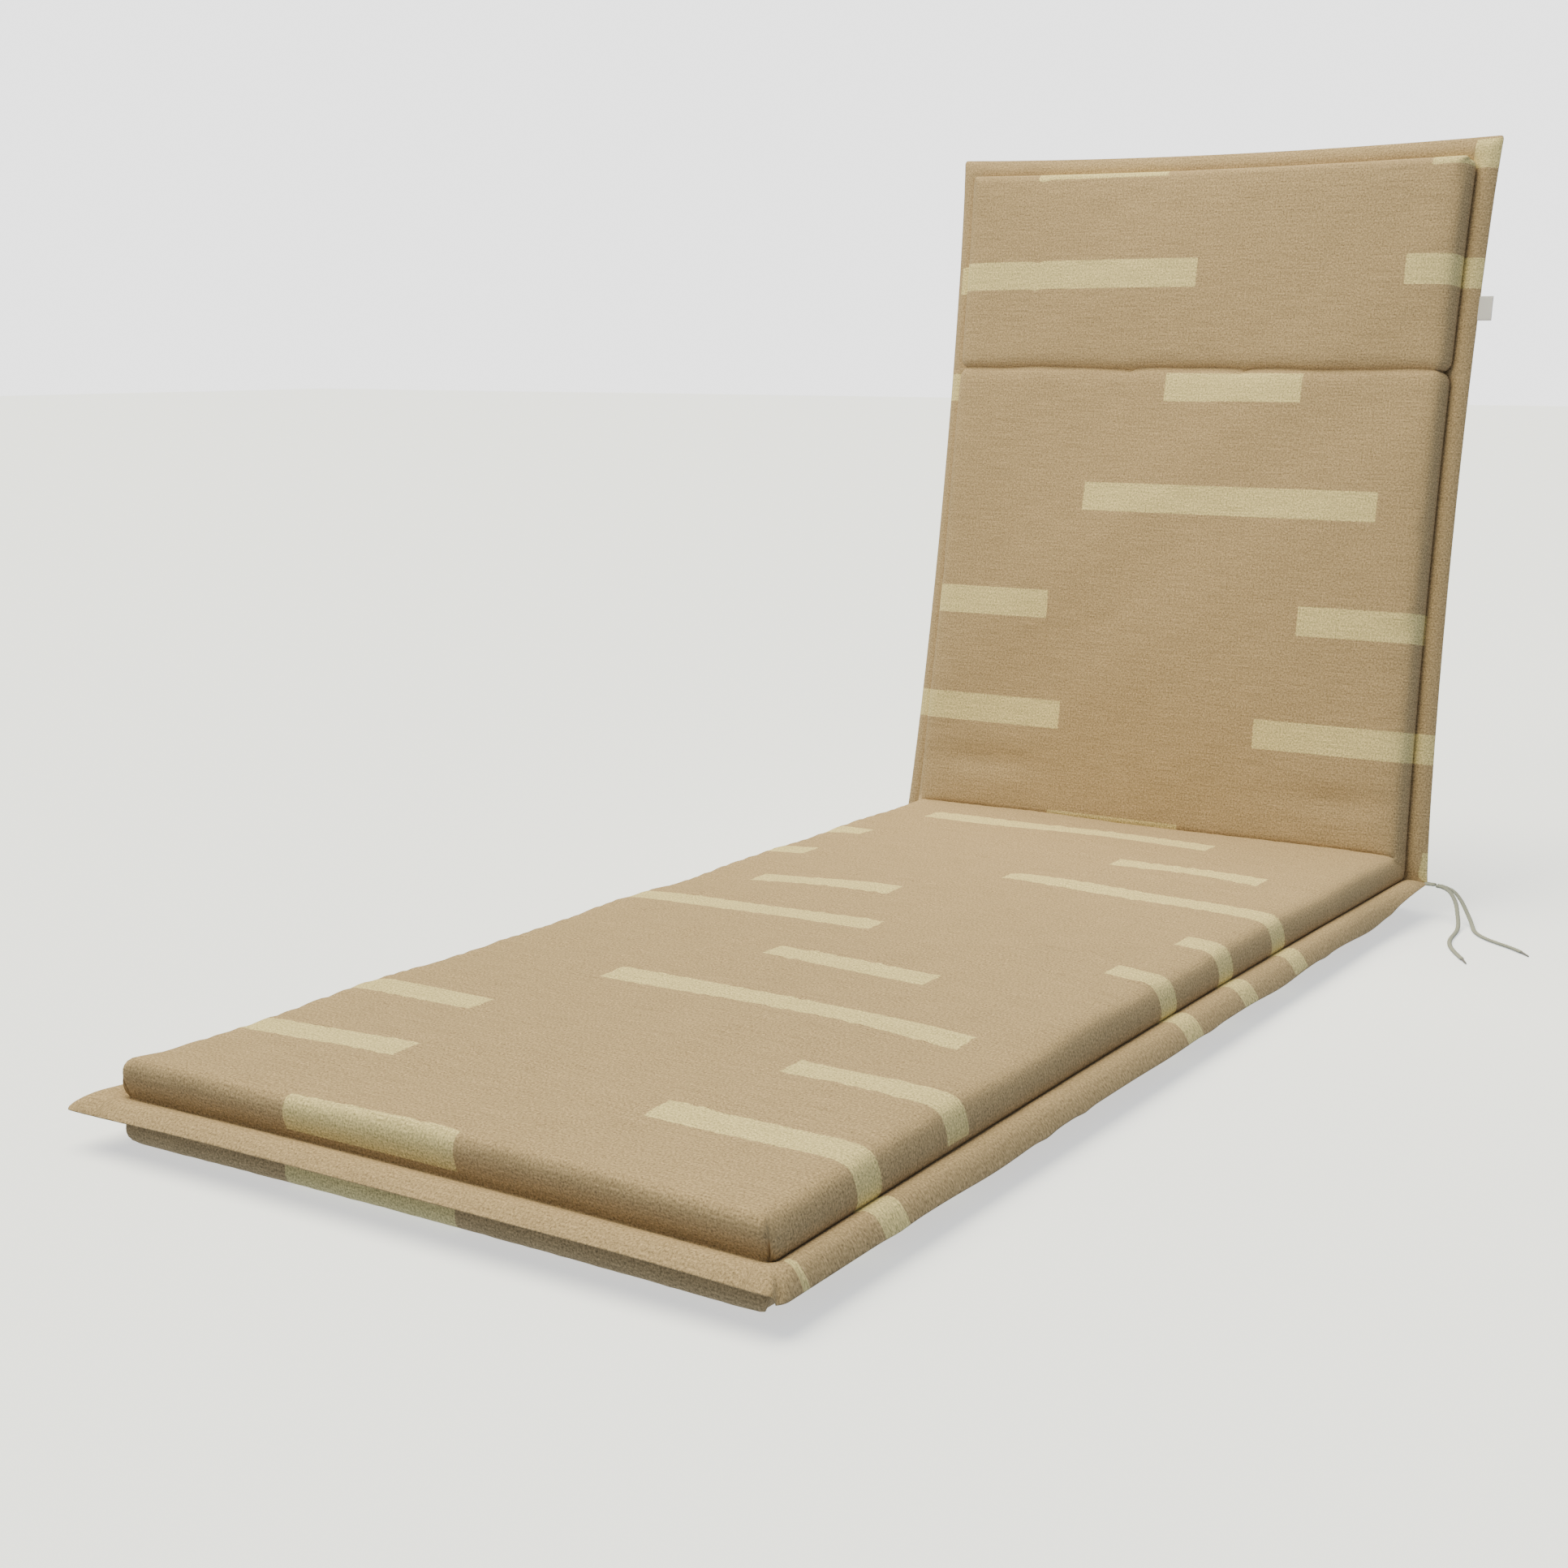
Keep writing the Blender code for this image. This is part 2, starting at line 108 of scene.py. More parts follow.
# Soft dips of the seat's flange, for each long side, and its front corners, the left one pulled out
FLANGE_DIPS = {
    "right": ({"s": 0.270, "depth": 0.004, "reach": 0.055},
              {"s": 0.560, "depth": 0.002, "reach": 0.050},
              {"s": 0.795, "depth": 0.005, "reach": 0.050},
              {"s": 1.030, "depth": 0.007, "reach": 0.060}),
    "left": ({"s": 0.330, "depth": 0.003, "reach": 0.060},
             {"s": 0.690, "depth": 0.004, "reach": 0.055},
             {"s": 0.960, "depth": 0.005, "reach": 0.065}),
}
HANG = 0.0110
HANG_IN = 0.0050
FRONT_HANG = 0.0048
FRONT_HANG_SHARE = 0.5
FRONT_HANG_REACH = 0.080
HANG_FADE = 0.160
HANG_CURVE = 2.2
DIP_SHARE = 0.55

# Short kinks of the right flange: place along the cloth, depth and reach
FLANGE_KINKS = ((0.345, 0.0030, 0.012), (0.405, 0.0024, 0.010), (0.640, 0.0022, 0.016),
                (0.905, 0.0024, 0.014), (1.085, 0.0026, 0.012), (0.140, 0.0018, 0.016))
EAR_PULL = 0.009
EAR_REACH = 0.045

# Fine grid of the cover: cells of the flange, heights up the shoulders, step of the open pads
FLANGE_CELLS = 12
SHOULDER_RISES = np.array([0.02, 0.05, 0.09, 0.14, 0.21, 0.30, 0.40, 0.50, 0.60, 0.70, 0.79, 0.87,
                           0.93, 0.975, 1.0])
HEAD_RISES = np.array([0.76, 0.79, 0.83, 0.87, 0.91, 0.95, 0.98, 1.0])
OPEN_STEP = 0.0078

# Soft hollows of the pads: centre across and along, half sizes and depth
HOLLOWS = (
    {"x": 0.10, "s": 0.118, "across": 0.16, "along": 0.016, "depth": 0.0014},
    {"x": 0.17, "s": 0.330, "across": 0.05, "along": 0.050, "depth": 0.0012},
    {"x": 0.20, "s": 0.700, "across": 0.05, "along": 0.060, "depth": 0.0012},
    {"x": -0.19, "s": 1.262, "across": 0.060, "along": 0.014, "depth": 0.0040},
    {"x": 0.21, "s": 1.258, "across": 0.050, "along": 0.012, "depth": 0.0030},
    {"x": -0.24, "s": 0.700, "across": 0.04, "along": 0.030, "depth": 0.0014},
    {"x": -0.24, "s": 0.905, "across": 0.04, "along": 0.026, "depth": 0.0016},
)

# Long gentle waves of the filling: length across, length along, phase and height
FILL_WAVES = (
    {"across": 0.410, "along": 0.330, "phase": 0.4, "height": 0.0007},
    {"across": -0.290, "along": 0.270, "phase": 2.1, "height": 0.0006},
    {"across": 0.230, "along": -0.190, "phase": 4.0, "height": 0.0004},
    {"across": -0.170, "along": 0.150, "phase": 5.2, "height": 0.0003},
)

# Puckers where the cloth is sewn: wave lengths along the seam with their share
PUCKER_HEIGHT = 0.00032
PUCKER_REACH = 0.024
PUCKER_WAVES = ((0.0173, 0.40, 0.3), (0.0261, 0.40, 1.9), (0.0427, 0.35, 4.1), (0.0119, 0.20, 2.6),
                (0.0719, 0.40, 5.5))
HEAD_PUCKER_SHARE = 0.5
SEAM_WANDER = 0.0012
SEAM_WANDER_REACH = 0.035
SEAM_WANDER_WAVES = ((0.210, 0.5, 0.8), (0.130, 0.35, 2.7), (0.071, 0.25, 5.0))

# Simulation of the upper sheet: grid step, frames, pressure, growth of the cloth, hold of the filling
SIM_STEP = 0.0070
SIM_FRAMES = 20
SIM_PRESSURE = 4.0
SIM_GROWTH = 0.020
SIM_FILL_HOLD = 0.45
SIM_CAP = 0.0035
SIM_SEAM_EASE = 0.022
SIM_IN_PLANE = 0.15

# Side tab
TAB_CENTRE = 0.571
TAB_HEIGHT = 0.024
TAB_REACH = 0.0125
TAB_IN_SEAM = 0.003
TAB_HALF = 0.0007
TAB_GAP = 0.0006

# Tie cord: a flat braid that lies on its broad side, its root and its tips
TIE_WIDTH = 0.0045
TIE_THICKNESS = 0.0032
BRAID_RELIEF = 0.00016
BRAID_PITCH = 0.0052
BRAID_STRANDS = 6
TIE_SIDES = 32
TIE_RING_STEP = 0.00045
TIE_END_ROUND = 0.0012
ROOT_IN_SEAM = 0.0040
ROOT_HALF_WIDTH = 0.0044
ROOT_HALF_THICKNESS = 0.0016
ROOT_LENGTH = 0.0080
ROOT_GAP = 0.0003
TIP_LENGTH = 0.012
TIP_RADII = (0.0012, 0.0007)
TIE_START = WIDTH / 2 + ROOT_GAP + ROOT_LENGTH + ROOT_GAP

TIE_LONG_ROUTE = (
    (TIE_START, FOLD_Y - 0.0025, LOWER_RISE),
    (0.3165, FOLD_Y - 0.0025, 0.0320),
    (0.3250, 0.5862, 0.0288),
    (0.3327, 0.5785, 0.0215),
    (0.3382, 0.5675, 0.0135),
    (0.3425, 0.5570, 0.0070),
    (0.3452, 0.5460, 0.0036),
    (0.3468, 0.5340, 0.0026),
    (0.3480, 0.5215, 0.0025),
    (0.3496, 0.5090, 0.0025),
    (0.3522, 0.4970, 0.0025),
    (0.3562, 0.4852, 0.0025),
    (0.3614, 0.4738, 0.0025),
    (0.3675, 0.4630, 0.0025),
    (0.3740, 0.4525, 0.0025),
    (0.3806, 0.4422, 0.0025),
)
TIE_SHORT_ROUTE = (
    (TIE_START, FOLD_Y + 0.0025, LOWER_RISE),
    (0.3168, FOLD_Y + 0.0025, 0.0320),
    (0.3262, 0.5936, 0.0288),
    (0.3350, 0.5892, 0.0217),
    (0.3428, 0.5815, 0.0137),
    (0.3496, 0.5730, 0.0072),
    (0.3548, 0.5630, 0.0037),
    (0.3594, 0.5525, 0.0026),
    (0.3652, 0.5425, 0.0025),
    (0.3726, 0.5334, 0.0025),
    (0.3814, 0.5254, 0.0025),
    (0.3912, 0.5184, 0.0025),
    (0.4012, 0.5118, 0.0025),
    (0.4110, 0.5048, 0.0025),
    (0.4200, 0.4968, 0.0025),
)

# Camera, solved from the photo
CAMERA_PLACE = (0.95512, -1.01626 - FOLD_Y, 0.52930 + LOWER_RISE)
CAMERA_PITCH = math.radians(79.02)
CAMERA_TURN = math.radians(32.83)
CAMERA_LENS = 52.08
CAMERA_SENSOR = 36.0

# Studio: broad soft light from high up on the left, a softbox over the seat, an even room, a pale floor
KEY_TOWARDS = (-0.32, -0.03, 0.93)
KEY_SPREAD = math.radians(55)
KEY_STRENGTH = 5.0
BACK_LIGHT_PLACE = (-0.25, -0.40, 1.30)
BACK_LIGHT_TARGET = (0.0, 0.68, 0.50)
BACK_LIGHT_SIZE = 0.7
BACK_LIGHT_CONE = math.radians(70)
BACK_LIGHT_POWER = 2.3
KEY_COLOUR = (1.0, 0.89, 0.62)
ROOM_LIGHT = 0.39
ROOM_COLOUR = (0.84, 0.96, 1.0, 1)
ROOM_SEEN = 2.70
SEEN_COLOUR = (1, 1, 1, 1)
FLOOR_COLOUR = (0.86, 0.925, 1.0, 1)
FLOOR_GLOW = 0.60
FLOOR_SEEN = 0.90
FLOOR_GLOW_COLOUR = (0.90, 0.97, 1.0, 1)


def rise_profile(share, power=SHOULDER_POWER):
    """Superellipse from 0 at the sewn line, straight up, to 1 where the shoulder ends."""
    return (1 - (1 - share) ** power) ** (1 / power)


def shoulder_lines(width, rises, start=0.0, power=SHOULDER_POWER):
    """Distances from a pad's root at which its shoulder reaches the given shares of its height."""
    share = 1 - (1 - rises ** power) ** (1 / power)
    return width * (share - start) / (1 - start)


def flange_lines():
    """Distances from the outer edge across the flange, closer together at both sides."""
    part = np.linspace(0, 1, FLANGE_CELLS + 1)
    return FLANGE * (0.5 - 0.5 * np.cos(np.pi * part))


def open_lines(start, end):
    """Evenly spaced lines strictly between two lines."""
    cells = max(1, round((end - start) / OPEN_STEP))
    return np.linspace(start, end, cells + 1)[1:-1]


def lines_across():
    """Grid lines across the flat cloth, from the left edge to the right edge."""
    edge = np.concatenate([flange_lines(), FLANGE + shoulder_lines(SHOULDER, SHOULDER_RISES)])
    left = edge - WIDTH / 2
    return np.concatenate([left, open_lines(left[-1], -left[-1]), -left[::-1]])


def lines_along():
    """Grid lines along the flat cloth, from the front edge over fold and head seam to the top."""
    shoulder = shoulder_lines(SHOULDER, SHOULDER_RISES, power=END_POWER)
    edge = np.concatenate([flange_lines(), FLANGE + shoulder])
    fold = shoulder_lines(SHOULDER, SHOULDER_RISES[3:])
    head = shoulder_lines(HEAD_SHOULDER, HEAD_RISES, HEAD_VALLEY)
    before_fold = np.append(SEAT_LENGTH - fold[::-1], SEAT_LENGTH)
    before_head = np.append(HEAD_LINE - head[::-1], HEAD_LINE)
    after_fold = SEAT_LENGTH + fold
    after_head = HEAD_LINE + head
    top = TOTAL_LENGTH - edge[::-1]
    return np.concatenate([
        edge, open_lines(edge[-1], before_fold[0]), before_fold,
        after_fold, open_lines(after_fold[-1], before_head[0]), before_head,
        after_head, open_lines(after_head[-1], top[0]), top,
    ])


def sew_distances(x, s):
    """Inward distances from the pads' root at the sides and ends, and from both sewn lines."""
    side = WIDTH / 2 - FLANGE - np.abs(x)
    end = np.minimum(s - FLANGE, TOTAL_LENGTH - FLANGE - s)
    fold = np.abs(s - SEAT_LENGTH)
    head = np.abs(s - HEAD_LINE)
    return side, end, fold, head


def pad_rise(x, s):
    """Share of the full height: the shoulder's profile of the softened least distance to a seam."""
    side, end, fold, head = sew_distances(x, s)
    valley = HEAD_VALLEY + (1 - HEAD_VALLEY) * head / HEAD_SHOULDER
    parts = np.stack([side / SHOULDER, end / SHOULDER, fold / SHOULDER, valley])
    parts = np.maximum(parts, LEAST_SHARE)
    weights = (np.min(parts, axis=0) / parts) ** CORNER_SHARPNESS
    nearest = np.min(parts, axis=0) * np.sum(weights, axis=0) ** (-1 / CORNER_SHARPNESS)
    power = SHOULDER_POWER + (END_POWER - SHOULDER_POWER) * weights[1] / np.sum(weights, axis=0)
    rise = rise_profile(np.clip(nearest, 0, 1), power)
    return np.where(np.min(parts, axis=0) >= 1.0, 1.0, rise)


def crown(x, s):
    """Extra height in the middle of each pad: a parabola across times half a sine wave along."""
    across = 1 - (x / (WIDTH / 2 - FLANGE)) ** 2
    seat = np.clip((s - FLANGE) / (SEAT_LENGTH - FLANGE), 0, 1)
    back = np.clip((s - SEAT_LENGTH) / HEAD_SEAM, 0, 1)
    head = np.clip((s - HEAD_LINE) / (TOTAL_LENGTH - FLANGE - HEAD_LINE), 0, 1)
    along = (SEAT_CROWN * np.sin(np.pi * seat)
             + BACK_CROWN * np.sin(np.pi * back)
             + HEAD_CROWN * np.sin(np.pi * head))
    return np.clip(across, 0, 1) * along


def fill_relief(x, s):
    """Unevenness of the filling: long sine waves across both directions, less bell-shaped hollows."""
    relief = np.zeros_like(x)
    for wave in FILL_WAVES:
        turn = 2 * np.pi * (x / wave["across"] + s / wave["along"])
        relief += wave["height"] * np.sin(turn + wave["phase"])
    for hollow in HOLLOWS:
        reach = ((x - hollow["x"]) / hollow["across"]) ** 2 + ((s - hollow["s"]) / hollow["along"]) ** 2
        relief -= hollow["depth"] * np.exp(-reach)
    return relief


def wave_sum(place, waves):
    """Sum of sine waves, each with its length, share and phase."""
    total = np.zeros_like(place)
    for length, share, phase in waves:
        total += share * np.sin(2 * np.pi * place / length + phase)
    return total


def puckers(x, s, side, end, fold, head):
    """Small puckers that run off each sewn line and die away over the shoulder."""
    def fade(distance):
        near = np.clip(np.abs(distance) / PUCKER_REACH, 0, 1)
        return near ** 0.8 * (1 - near) ** 1.5 * 2.8
    along_side = wave_sum(s + 0.31 * np.sign(x), PUCKER_WAVES) * fade(side)
    along_end = wave_sum(x + 0.17 + s * 0.01, PUCKER_WAVES) * fade(end)
    along_fold = wave_sum(x + 0.59, PUCKER_WAVES) * fade(fold)
    along_head = wave_sum(x + 0.83, PUCKER_WAVES) * fade(head)
    return PUCKER_HEIGHT * (along_side + along_end + along_fold + HEAD_PUCKER_SHARE * along_head)


def flange_half(side, end, fold):
    """Half the flange's thickness: round at the outer edge, puffy, and pinched at root and fold."""
    part = np.clip(1 + np.minimum(side, end) / FLANGE, 0, 1)
    puff = FLANGE_HALF * np.sin(np.pi * part ** PUFF_SKEW) ** PUFF_FULLNESS
    puff = puff * (1 - np.exp(-FLANGE * (1 - part) / PUFF_ROOT))
    pinch = 1 - SEAM_PINCH * np.exp(-(fold / SEAM_PINCH_REACH) ** 2)
    return np.where(part < 1, puff * pinch, 0.0) + SEWN_HALF * part


def sheet_height(x, s, upper, detail=1.0):
    """Height of the upper or lower cover sheet over the mid-plane, on the flat cloth."""
    side, end, fold, head = sew_distances(x, s)
    share = pad_rise(x, s)
    on_pad = np.minimum(side, end) > 0
    if upper:
        seat_rise = SEAT_RISE - FOLD_SLACK * np.clip(s / SEAT_LENGTH, 0, 1) ** 2
        full = np.where(s < SEAT_LENGTH, seat_rise, BACK_RISE) + crown(x, s) - SEWN_HALF
        full = full + detail * fill_relief(x, s)
    else:
        full = np.where(s < SEAT_LENGTH, LOWER_RISE, REAR_RISE) - SEWN_HALF
    relief = detail * puckers(x, s, side, end, fold, head)
    height = flange_half(side, end, fold) + np.where(on_pad, share * full, 0.0)
    height = height + np.where(share < 1, relief, 0.0) * np.where(on_pad, 1.0, 0.5 * (side > -FLANGE))
    return height if upper else -height


def round_corners(x, s, side, end):
    """Turns the square corners of each line round the cushion into arcs, in plan."""
    inset = np.minimum(side, end)
    outward = np.clip(-inset / FLANGE, 0, 1)
    edge_radius = np.where((x > 0) & (s < SEAT_LENGTH), BLUNT_CORNER_RADIUS, EDGE_CORNER_RADIUS)
    radius = PAD_CORNER_RADIUS + (edge_radius - PAD_CORNER_RADIUS) * outward
    to_side = inset + radius - side
    to_end = inset + radius - end
    in_corner = (to_side > 0) & (to_end > 0)
    length = np.where(in_corner, np.hypot(to_side, to_end), 1.0)
    new_side = np.where(in_corner, inset + radius - to_side * radius / length, side)
    new_end = np.where(in_corner, inset + radius - to_end * radius / length, end)
    return new_side, new_end


def seam_notch(side, fold, head):
    """Inward shift that rounds the pads' corners where a sewn line meets the flange: a quarter arc."""
    seam = np.minimum(fold, head)
    short = np.clip(SEAM_NOTCH - seam, 0, SEAM_NOTCH)
    arc = SEAM_NOTCH - np.sqrt(SEAM_NOTCH ** 2 - short ** 2)
    inside = np.clip(1 - side / NOTCH_REACH, 0, 1) ** 2
    outside = np.clip(1 + side / FLANGE, 0, 1) ** 1.5
    return arc * np.where(side >= 0, inside, outside)


def side_draw(side, s):
    """How far the long sides are drawn in: half a sine wave to a power, from the edge to the root."""
    seat = np.clip(s / SEAT_LENGTH, 0, 1)
    back = np.clip((s - SEAT_LENGTH) / BACK_LENGTH, 0, 1)
    seat_wave = np.sin(np.pi * seat)
    back_wave = np.clip(np.sin(np.pi * back), 0, 1) ** DRAW_POWER
    root = (SEAT_ROOT_DRAW * seat_wave + BACK_ROOT_DRAW * back_wave
            - FOLD_ROOT_OUT * seat ** 6)
    edge = BACK_EDGE_DRAW * back_wave
    inward = np.clip(1 + side / FLANGE, 0, 1)
    return edge + (root - edge) * inward


def tuck(inset):
    """How far the sewn root is pulled in under the pad: a narrow bell about the root."""
    return ROOT_TUCK * np.exp(-(inset / np.where(inset < 0, TUCK_OUTSIDE, TUCK_INSIDE)) ** 2)


def wall_bulge(inset, other, kind):
    """How far a pad's wall swells out: quickly off the sewn root, then fading over the shoulder.

    The swell is also small beside the root of the wall that it meets at a corner.
    """
    share = np.clip(inset / SHOULDER, 0, 1)
    start = 1 - np.exp(-rise_profile(share) / BULGE_START[kind])
    beside = 1 - np.exp(-rise_profile(np.clip(other / SHOULDER, 0, 1)) / BULGE_CORNER)
    return WALL_BULGE[kind] * start * (1 - share) * beside


def seat_fade(s):
    """1 along the seat, easing to 0 at the fold and 0 on the back."""
    from_fold = np.clip((SEAT_LENGTH - s) / HANG_FADE, 0, 1)
    return from_fold ** 2 * (3 - 2 * from_fold)


def plan_position(x, s):
    """Where the sewing leaves each point of the flat cloth, in plan."""
    side, end, fold, head = sew_distances(x, s)
    new_side, new_end = round_corners(x, s, side, end)
    new_side = new_side + seam_notch(side, fold, head) + tuck(side) - wall_bulge(side, end, "side")
    new_end = new_end + tuck(end) - wall_bulge(end, side, "end")
    across = 2 * x / WIDTH
    new_x = x - np.sign(x) * (new_side - side) - across * side_draw(side, s)
    shift_in = np.where(s < TOTAL_LENGTH / 2, new_end - end, end - new_end)
    near_top = np.clip(1 - (TOTAL_LENGTH - s) / TOP_DRAW_REACH, 0, 1) ** 2
    near_front = np.clip(s / FLANGE, 0, 1) * np.clip(1 - s / FRONT_DRAW_REACH, 0, 1)
    drawn = FRONT_ROOT_DRAW * near_front - TOP_DRAW * near_top
    new_s = s + shift_in + drawn * (1 - across ** 2)
    new_s = new_s + SEAM_WANDER * wave_sum(x, SEAM_WANDER_WAVES) * np.exp(-(head / SEAM_WANDER_REACH) ** 2)
    ear = EAR_PULL * np.exp(-(np.hypot(x + WIDTH / 2, s) / EAR_REACH) ** 2)
    curl = HANG_IN * (x > 0) * seat_fade(s) * np.clip(-side / FLANGE, 0, 1) ** HANG_CURVE
    return new_x - ear - curl, new_s


def flange_drop(x, s):
    """How far the seat's flange drops: soft bells along the long sides, and a curl to the outer edge.

    The curl is a power of the way out across the flange, on the right and along the front.
    """
    side, end, fold, head = sew_distances(x, s)
    outward = np.clip(-np.minimum(side, end) / FLANGE, 0, 1)
    drop = np.zeros_like(x)
    for name, dips in FLANGE_DIPS.items():
        on_side = (x > 0) if name == "right" else (x < 0)
        for dip in dips:
            bell = dip["depth"] * np.exp(-((s - dip["s"]) / dip["reach"]) ** 2)
            drop += np.where(on_side & (side < 0), bell, 0.0)
    for place, depth, reach in FLANGE_KINKS:
        drop += np.where((x > 0) & (side < 0), depth * np.exp(-((s - place) / reach) ** 2), 0.0)
    hang = HANG * seat_fade(s) * (x > 0) * np.clip(-side / FLANGE, 0, 1) ** HANG_CURVE
    near_corner = np.exp(-((WIDTH / 2 - np.abs(x)) / FRONT_HANG_REACH) ** 2)
    along_front = FRONT_HANG_SHARE + (1 - FRONT_HANG_SHARE) * near_corner
    front = FRONT_HANG * along_front * (s < FLANGE) * np.clip(-end / FLANGE, 0, 1) ** HANG_CURVE
    return DIP_SHARE * drop * outward + np.maximum(hang, front)


def folded(x, s, height, upper):
    """Folds the flat cushion about the sewn line; the pads meet on the plane that halves the fold."""
    halving = 1 / math.tan((math.pi - BACK_LEAN) / 2)
    along = s - SEAT_LENGTH
    on_seam = np.abs(along) < 1e-6
    on_seat = along < 0
    reach = np.abs(along)
    if upper:
        reach = np.maximum(reach, halving * height + PAD_GAP / 2)
    back_y = reach * math.cos(BACK_LEAN) - height * math.sin(BACK_LEAN)
    back_z = reach * math.sin(BACK_LEAN) + height * math.cos(BACK_LEAN)
    y = np.where(on_seam, -halving * height, np.where(on_seat, -reach, back_y))
    z = np.where(on_seam, height, np.where(on_seat, height, back_z))
    return np.stack([x, y + FOLD_Y, np.maximum(z + LOWER_RISE, 0.0)], axis=-1)


def sheet_points(x, s, upper, shift=0.0, detail=1.0):
    """Points in space of one cover sheet over the flat positions x, s, moved by a shift."""
    new_x, new_s = plan_position(x, s)
    height = sheet_height(x, s, upper, detail) - detail * flange_drop(x, s)
    place = np.stack([new_x, new_s, height], axis=-1) + shift
    return folded(place[..., 0], place[..., 1], place[..., 2], upper)


def even_lines(start, end, step):
    """Evenly spaced lines from start to end, both included."""
    return np.linspace(start, end, round((end - start) / step) + 1)


def simulate_sheet():
    """Blows up a coarse copy of the upper sheet between its seams; gives its lines and its shifts.

    The cloth is slightly larger than the pads, so it puckers where it is sewn. The filling holds it
    softly everywhere else. Shifts are in the frame of the flat cloth: across, along and up.
    """
    across = even_lines(FLANGE - WIDTH / 2, WIDTH / 2 - FLANGE, SIM_STEP)
    seat = even_lines(FLANGE, SEAT_LENGTH, SIM_STEP)
    back = even_lines(SEAT_LENGTH, HEAD_LINE, SIM_STEP)
    head = even_lines(HEAD_LINE, TOTAL_LENGTH - FLANGE, SIM_STEP)
    along = np.concatenate([seat, back[1:], head[1:]])
    x, s = np.meshgrid(across, along)
    rest = np.stack([x, s, sheet_height(x, s, True)], axis=-1)
    mesh = bpy.data.meshes.new("sheet_under_pressure")
    mesh.from_pydata(rest.reshape(-1, 3).tolist(), [], grid_faces(len(along), len(across), 0).tolist())
    sheet = bpy.data.objects.new("sheet_under_pressure", mesh)
    bpy.context.scene.collection.objects.link(sheet)
    side, end, fold, seam = sew_distances(x, s)
    nearest = np.minimum(np.minimum(side, end), np.minimum(fold, seam)).ravel()
    sewn = sheet.vertex_groups.new(name="sewn")
    sewn.add([int(i) for i in np.flatnonzero(nearest < SIM_STEP / 4)], 1.0, "REPLACE")
    sewn.add([int(i) for i in np.flatnonzero(nearest >= SIM_STEP / 4)], SIM_FILL_HOLD, "REPLACE")
    cloth = sheet.modifiers.new("pressure", "CLOTH")
    cloth.settings.vertex_group_mass = sewn.name
    cloth.settings.quality = 5
    cloth.settings.mass = 0.25
    cloth.settings.tension_stiffness = 20
    cloth.settings.compression_stiffness = 20
    cloth.settings.shear_stiffness = 8
    cloth.settings.bending_stiffness = 0.4
    cloth.settings.shrink_min = -SIM_GROWTH
    cloth.settings.use_pressure = True
    cloth.settings.uniform_pressure_force = SIM_PRESSURE
    cloth.settings.effector_weights.gravity = 0
    cloth.collision_settings.use_collision = False
    cloth.point_cache.frame_end = SIM_FRAMES
    for step in range(1, SIM_FRAMES + 1):
        bpy.context.scene.frame_set(step)
    settled = sheet.evaluated_get(bpy.context.evaluated_depsgraph_get()).data
    places = np.empty(len(settled.vertices) * 3)
    settled.vertices.foreach_get("co", places)
    shift = places.reshape(rest.shape) - rest
    bpy.data.objects.remove(sheet, do_unlink=True)
    bpy.data.meshes.remove(mesh)
    bpy.context.scene.frame_set(1)
    length = np.linalg.norm(shift, axis=-1, keepdims=True)
    shift *= np.minimum(1.0, SIM_CAP / np.maximum(length, 1e-9))
    shift[..., :2] *= SIM_IN_PLANE
    return across, along, shift


def carried_shift(x, s, simulation):
    """The simulated shift at each point of a finer grid, linear between the coarse grid's lines."""
    if simulation is None:
        return np.zeros(x.shape + (3,))
    across, along, shift = simulation
    column = np.clip(np.interp(x, across, np.arange(len(across))), 0, len(across) - 1.001)
    row = np.clip(np.interp(s, along, np.arange(len(along))), 0, len(along) - 1.001)
    left, low = column.astype(int), row.astype(int)
    across_part = (column - left)[..., None]
    along_part = (row - low)[..., None]
    near = shift[low, left] * (1 - across_part) + shift[low, left + 1] * across_part
    far = shift[low + 1, left] * (1 - across_part) + shift[low + 1, left + 1] * across_part
    on_pad = (np.abs(x) <= across[-1]) & (s >= along[0]) & (s <= along[-1])
    ease = np.clip(np.abs(s - HEAD_LINE) / SIM_SEAM_EASE, 0, 1)
    return (near * (1 - along_part) + far * along_part) * (on_pad * ease)[..., None]


def grid_faces(rows, columns, start):
    """Quads of a grid of rows by columns points, numbered from start."""
    first = (np.arange(rows - 1)[:, None] * columns + np.arange(columns - 1)[None, :]).ravel() + start
    return np.stack([first, first + 1, first + columns + 1, first + columns], axis=1)


def build_mesh(name, points, faces, corner_uv):
    """A smooth-shaded mesh from arrays of points and quads, with a UV for each face corner."""
    mesh = bpy.data.meshes.new(name)
    mesh.from_pydata(points.tolist(), [], faces.tolist())
    layer = mesh.uv_layers.new(name="cloth")
    layer.data.foreach_set("uv", corner_uv.astype(np.float32).ravel())
    mesh.shade_smooth()
    return mesh


def cloth_places(points, x, s):
    """Unrolled places of the points, for each section: lengths of grid lines from its middle."""
    across = np.linalg.norm(np.diff(points, axis=1), axis=2)
    along = np.linalg.norm(np.diff(points, axis=0), axis=2)
    across = np.concatenate([np.zeros((len(points), 1)), np.cumsum(across, axis=1)], axis=1)
    along = np.concatenate([np.zeros((1, points.shape[1])), np.cumsum(along, axis=0)], axis=0)
    middle = points.shape[1] // 2
    across = across - across[:, middle:middle + 1] + x[:, middle:middle + 1]
    places = []
    for start, end in zip(SECTION_LINES[:-1], SECTION_LINES[1:]):
        row = np.argmin(np.abs(s[:, 0] - (start + end) / 2))
        from_row = along - along[row:row + 1, :] + s[row, 0]
        places.append(np.stack([across, from_row], axis=-1).reshape(-1, 2))
    return np.array(places)


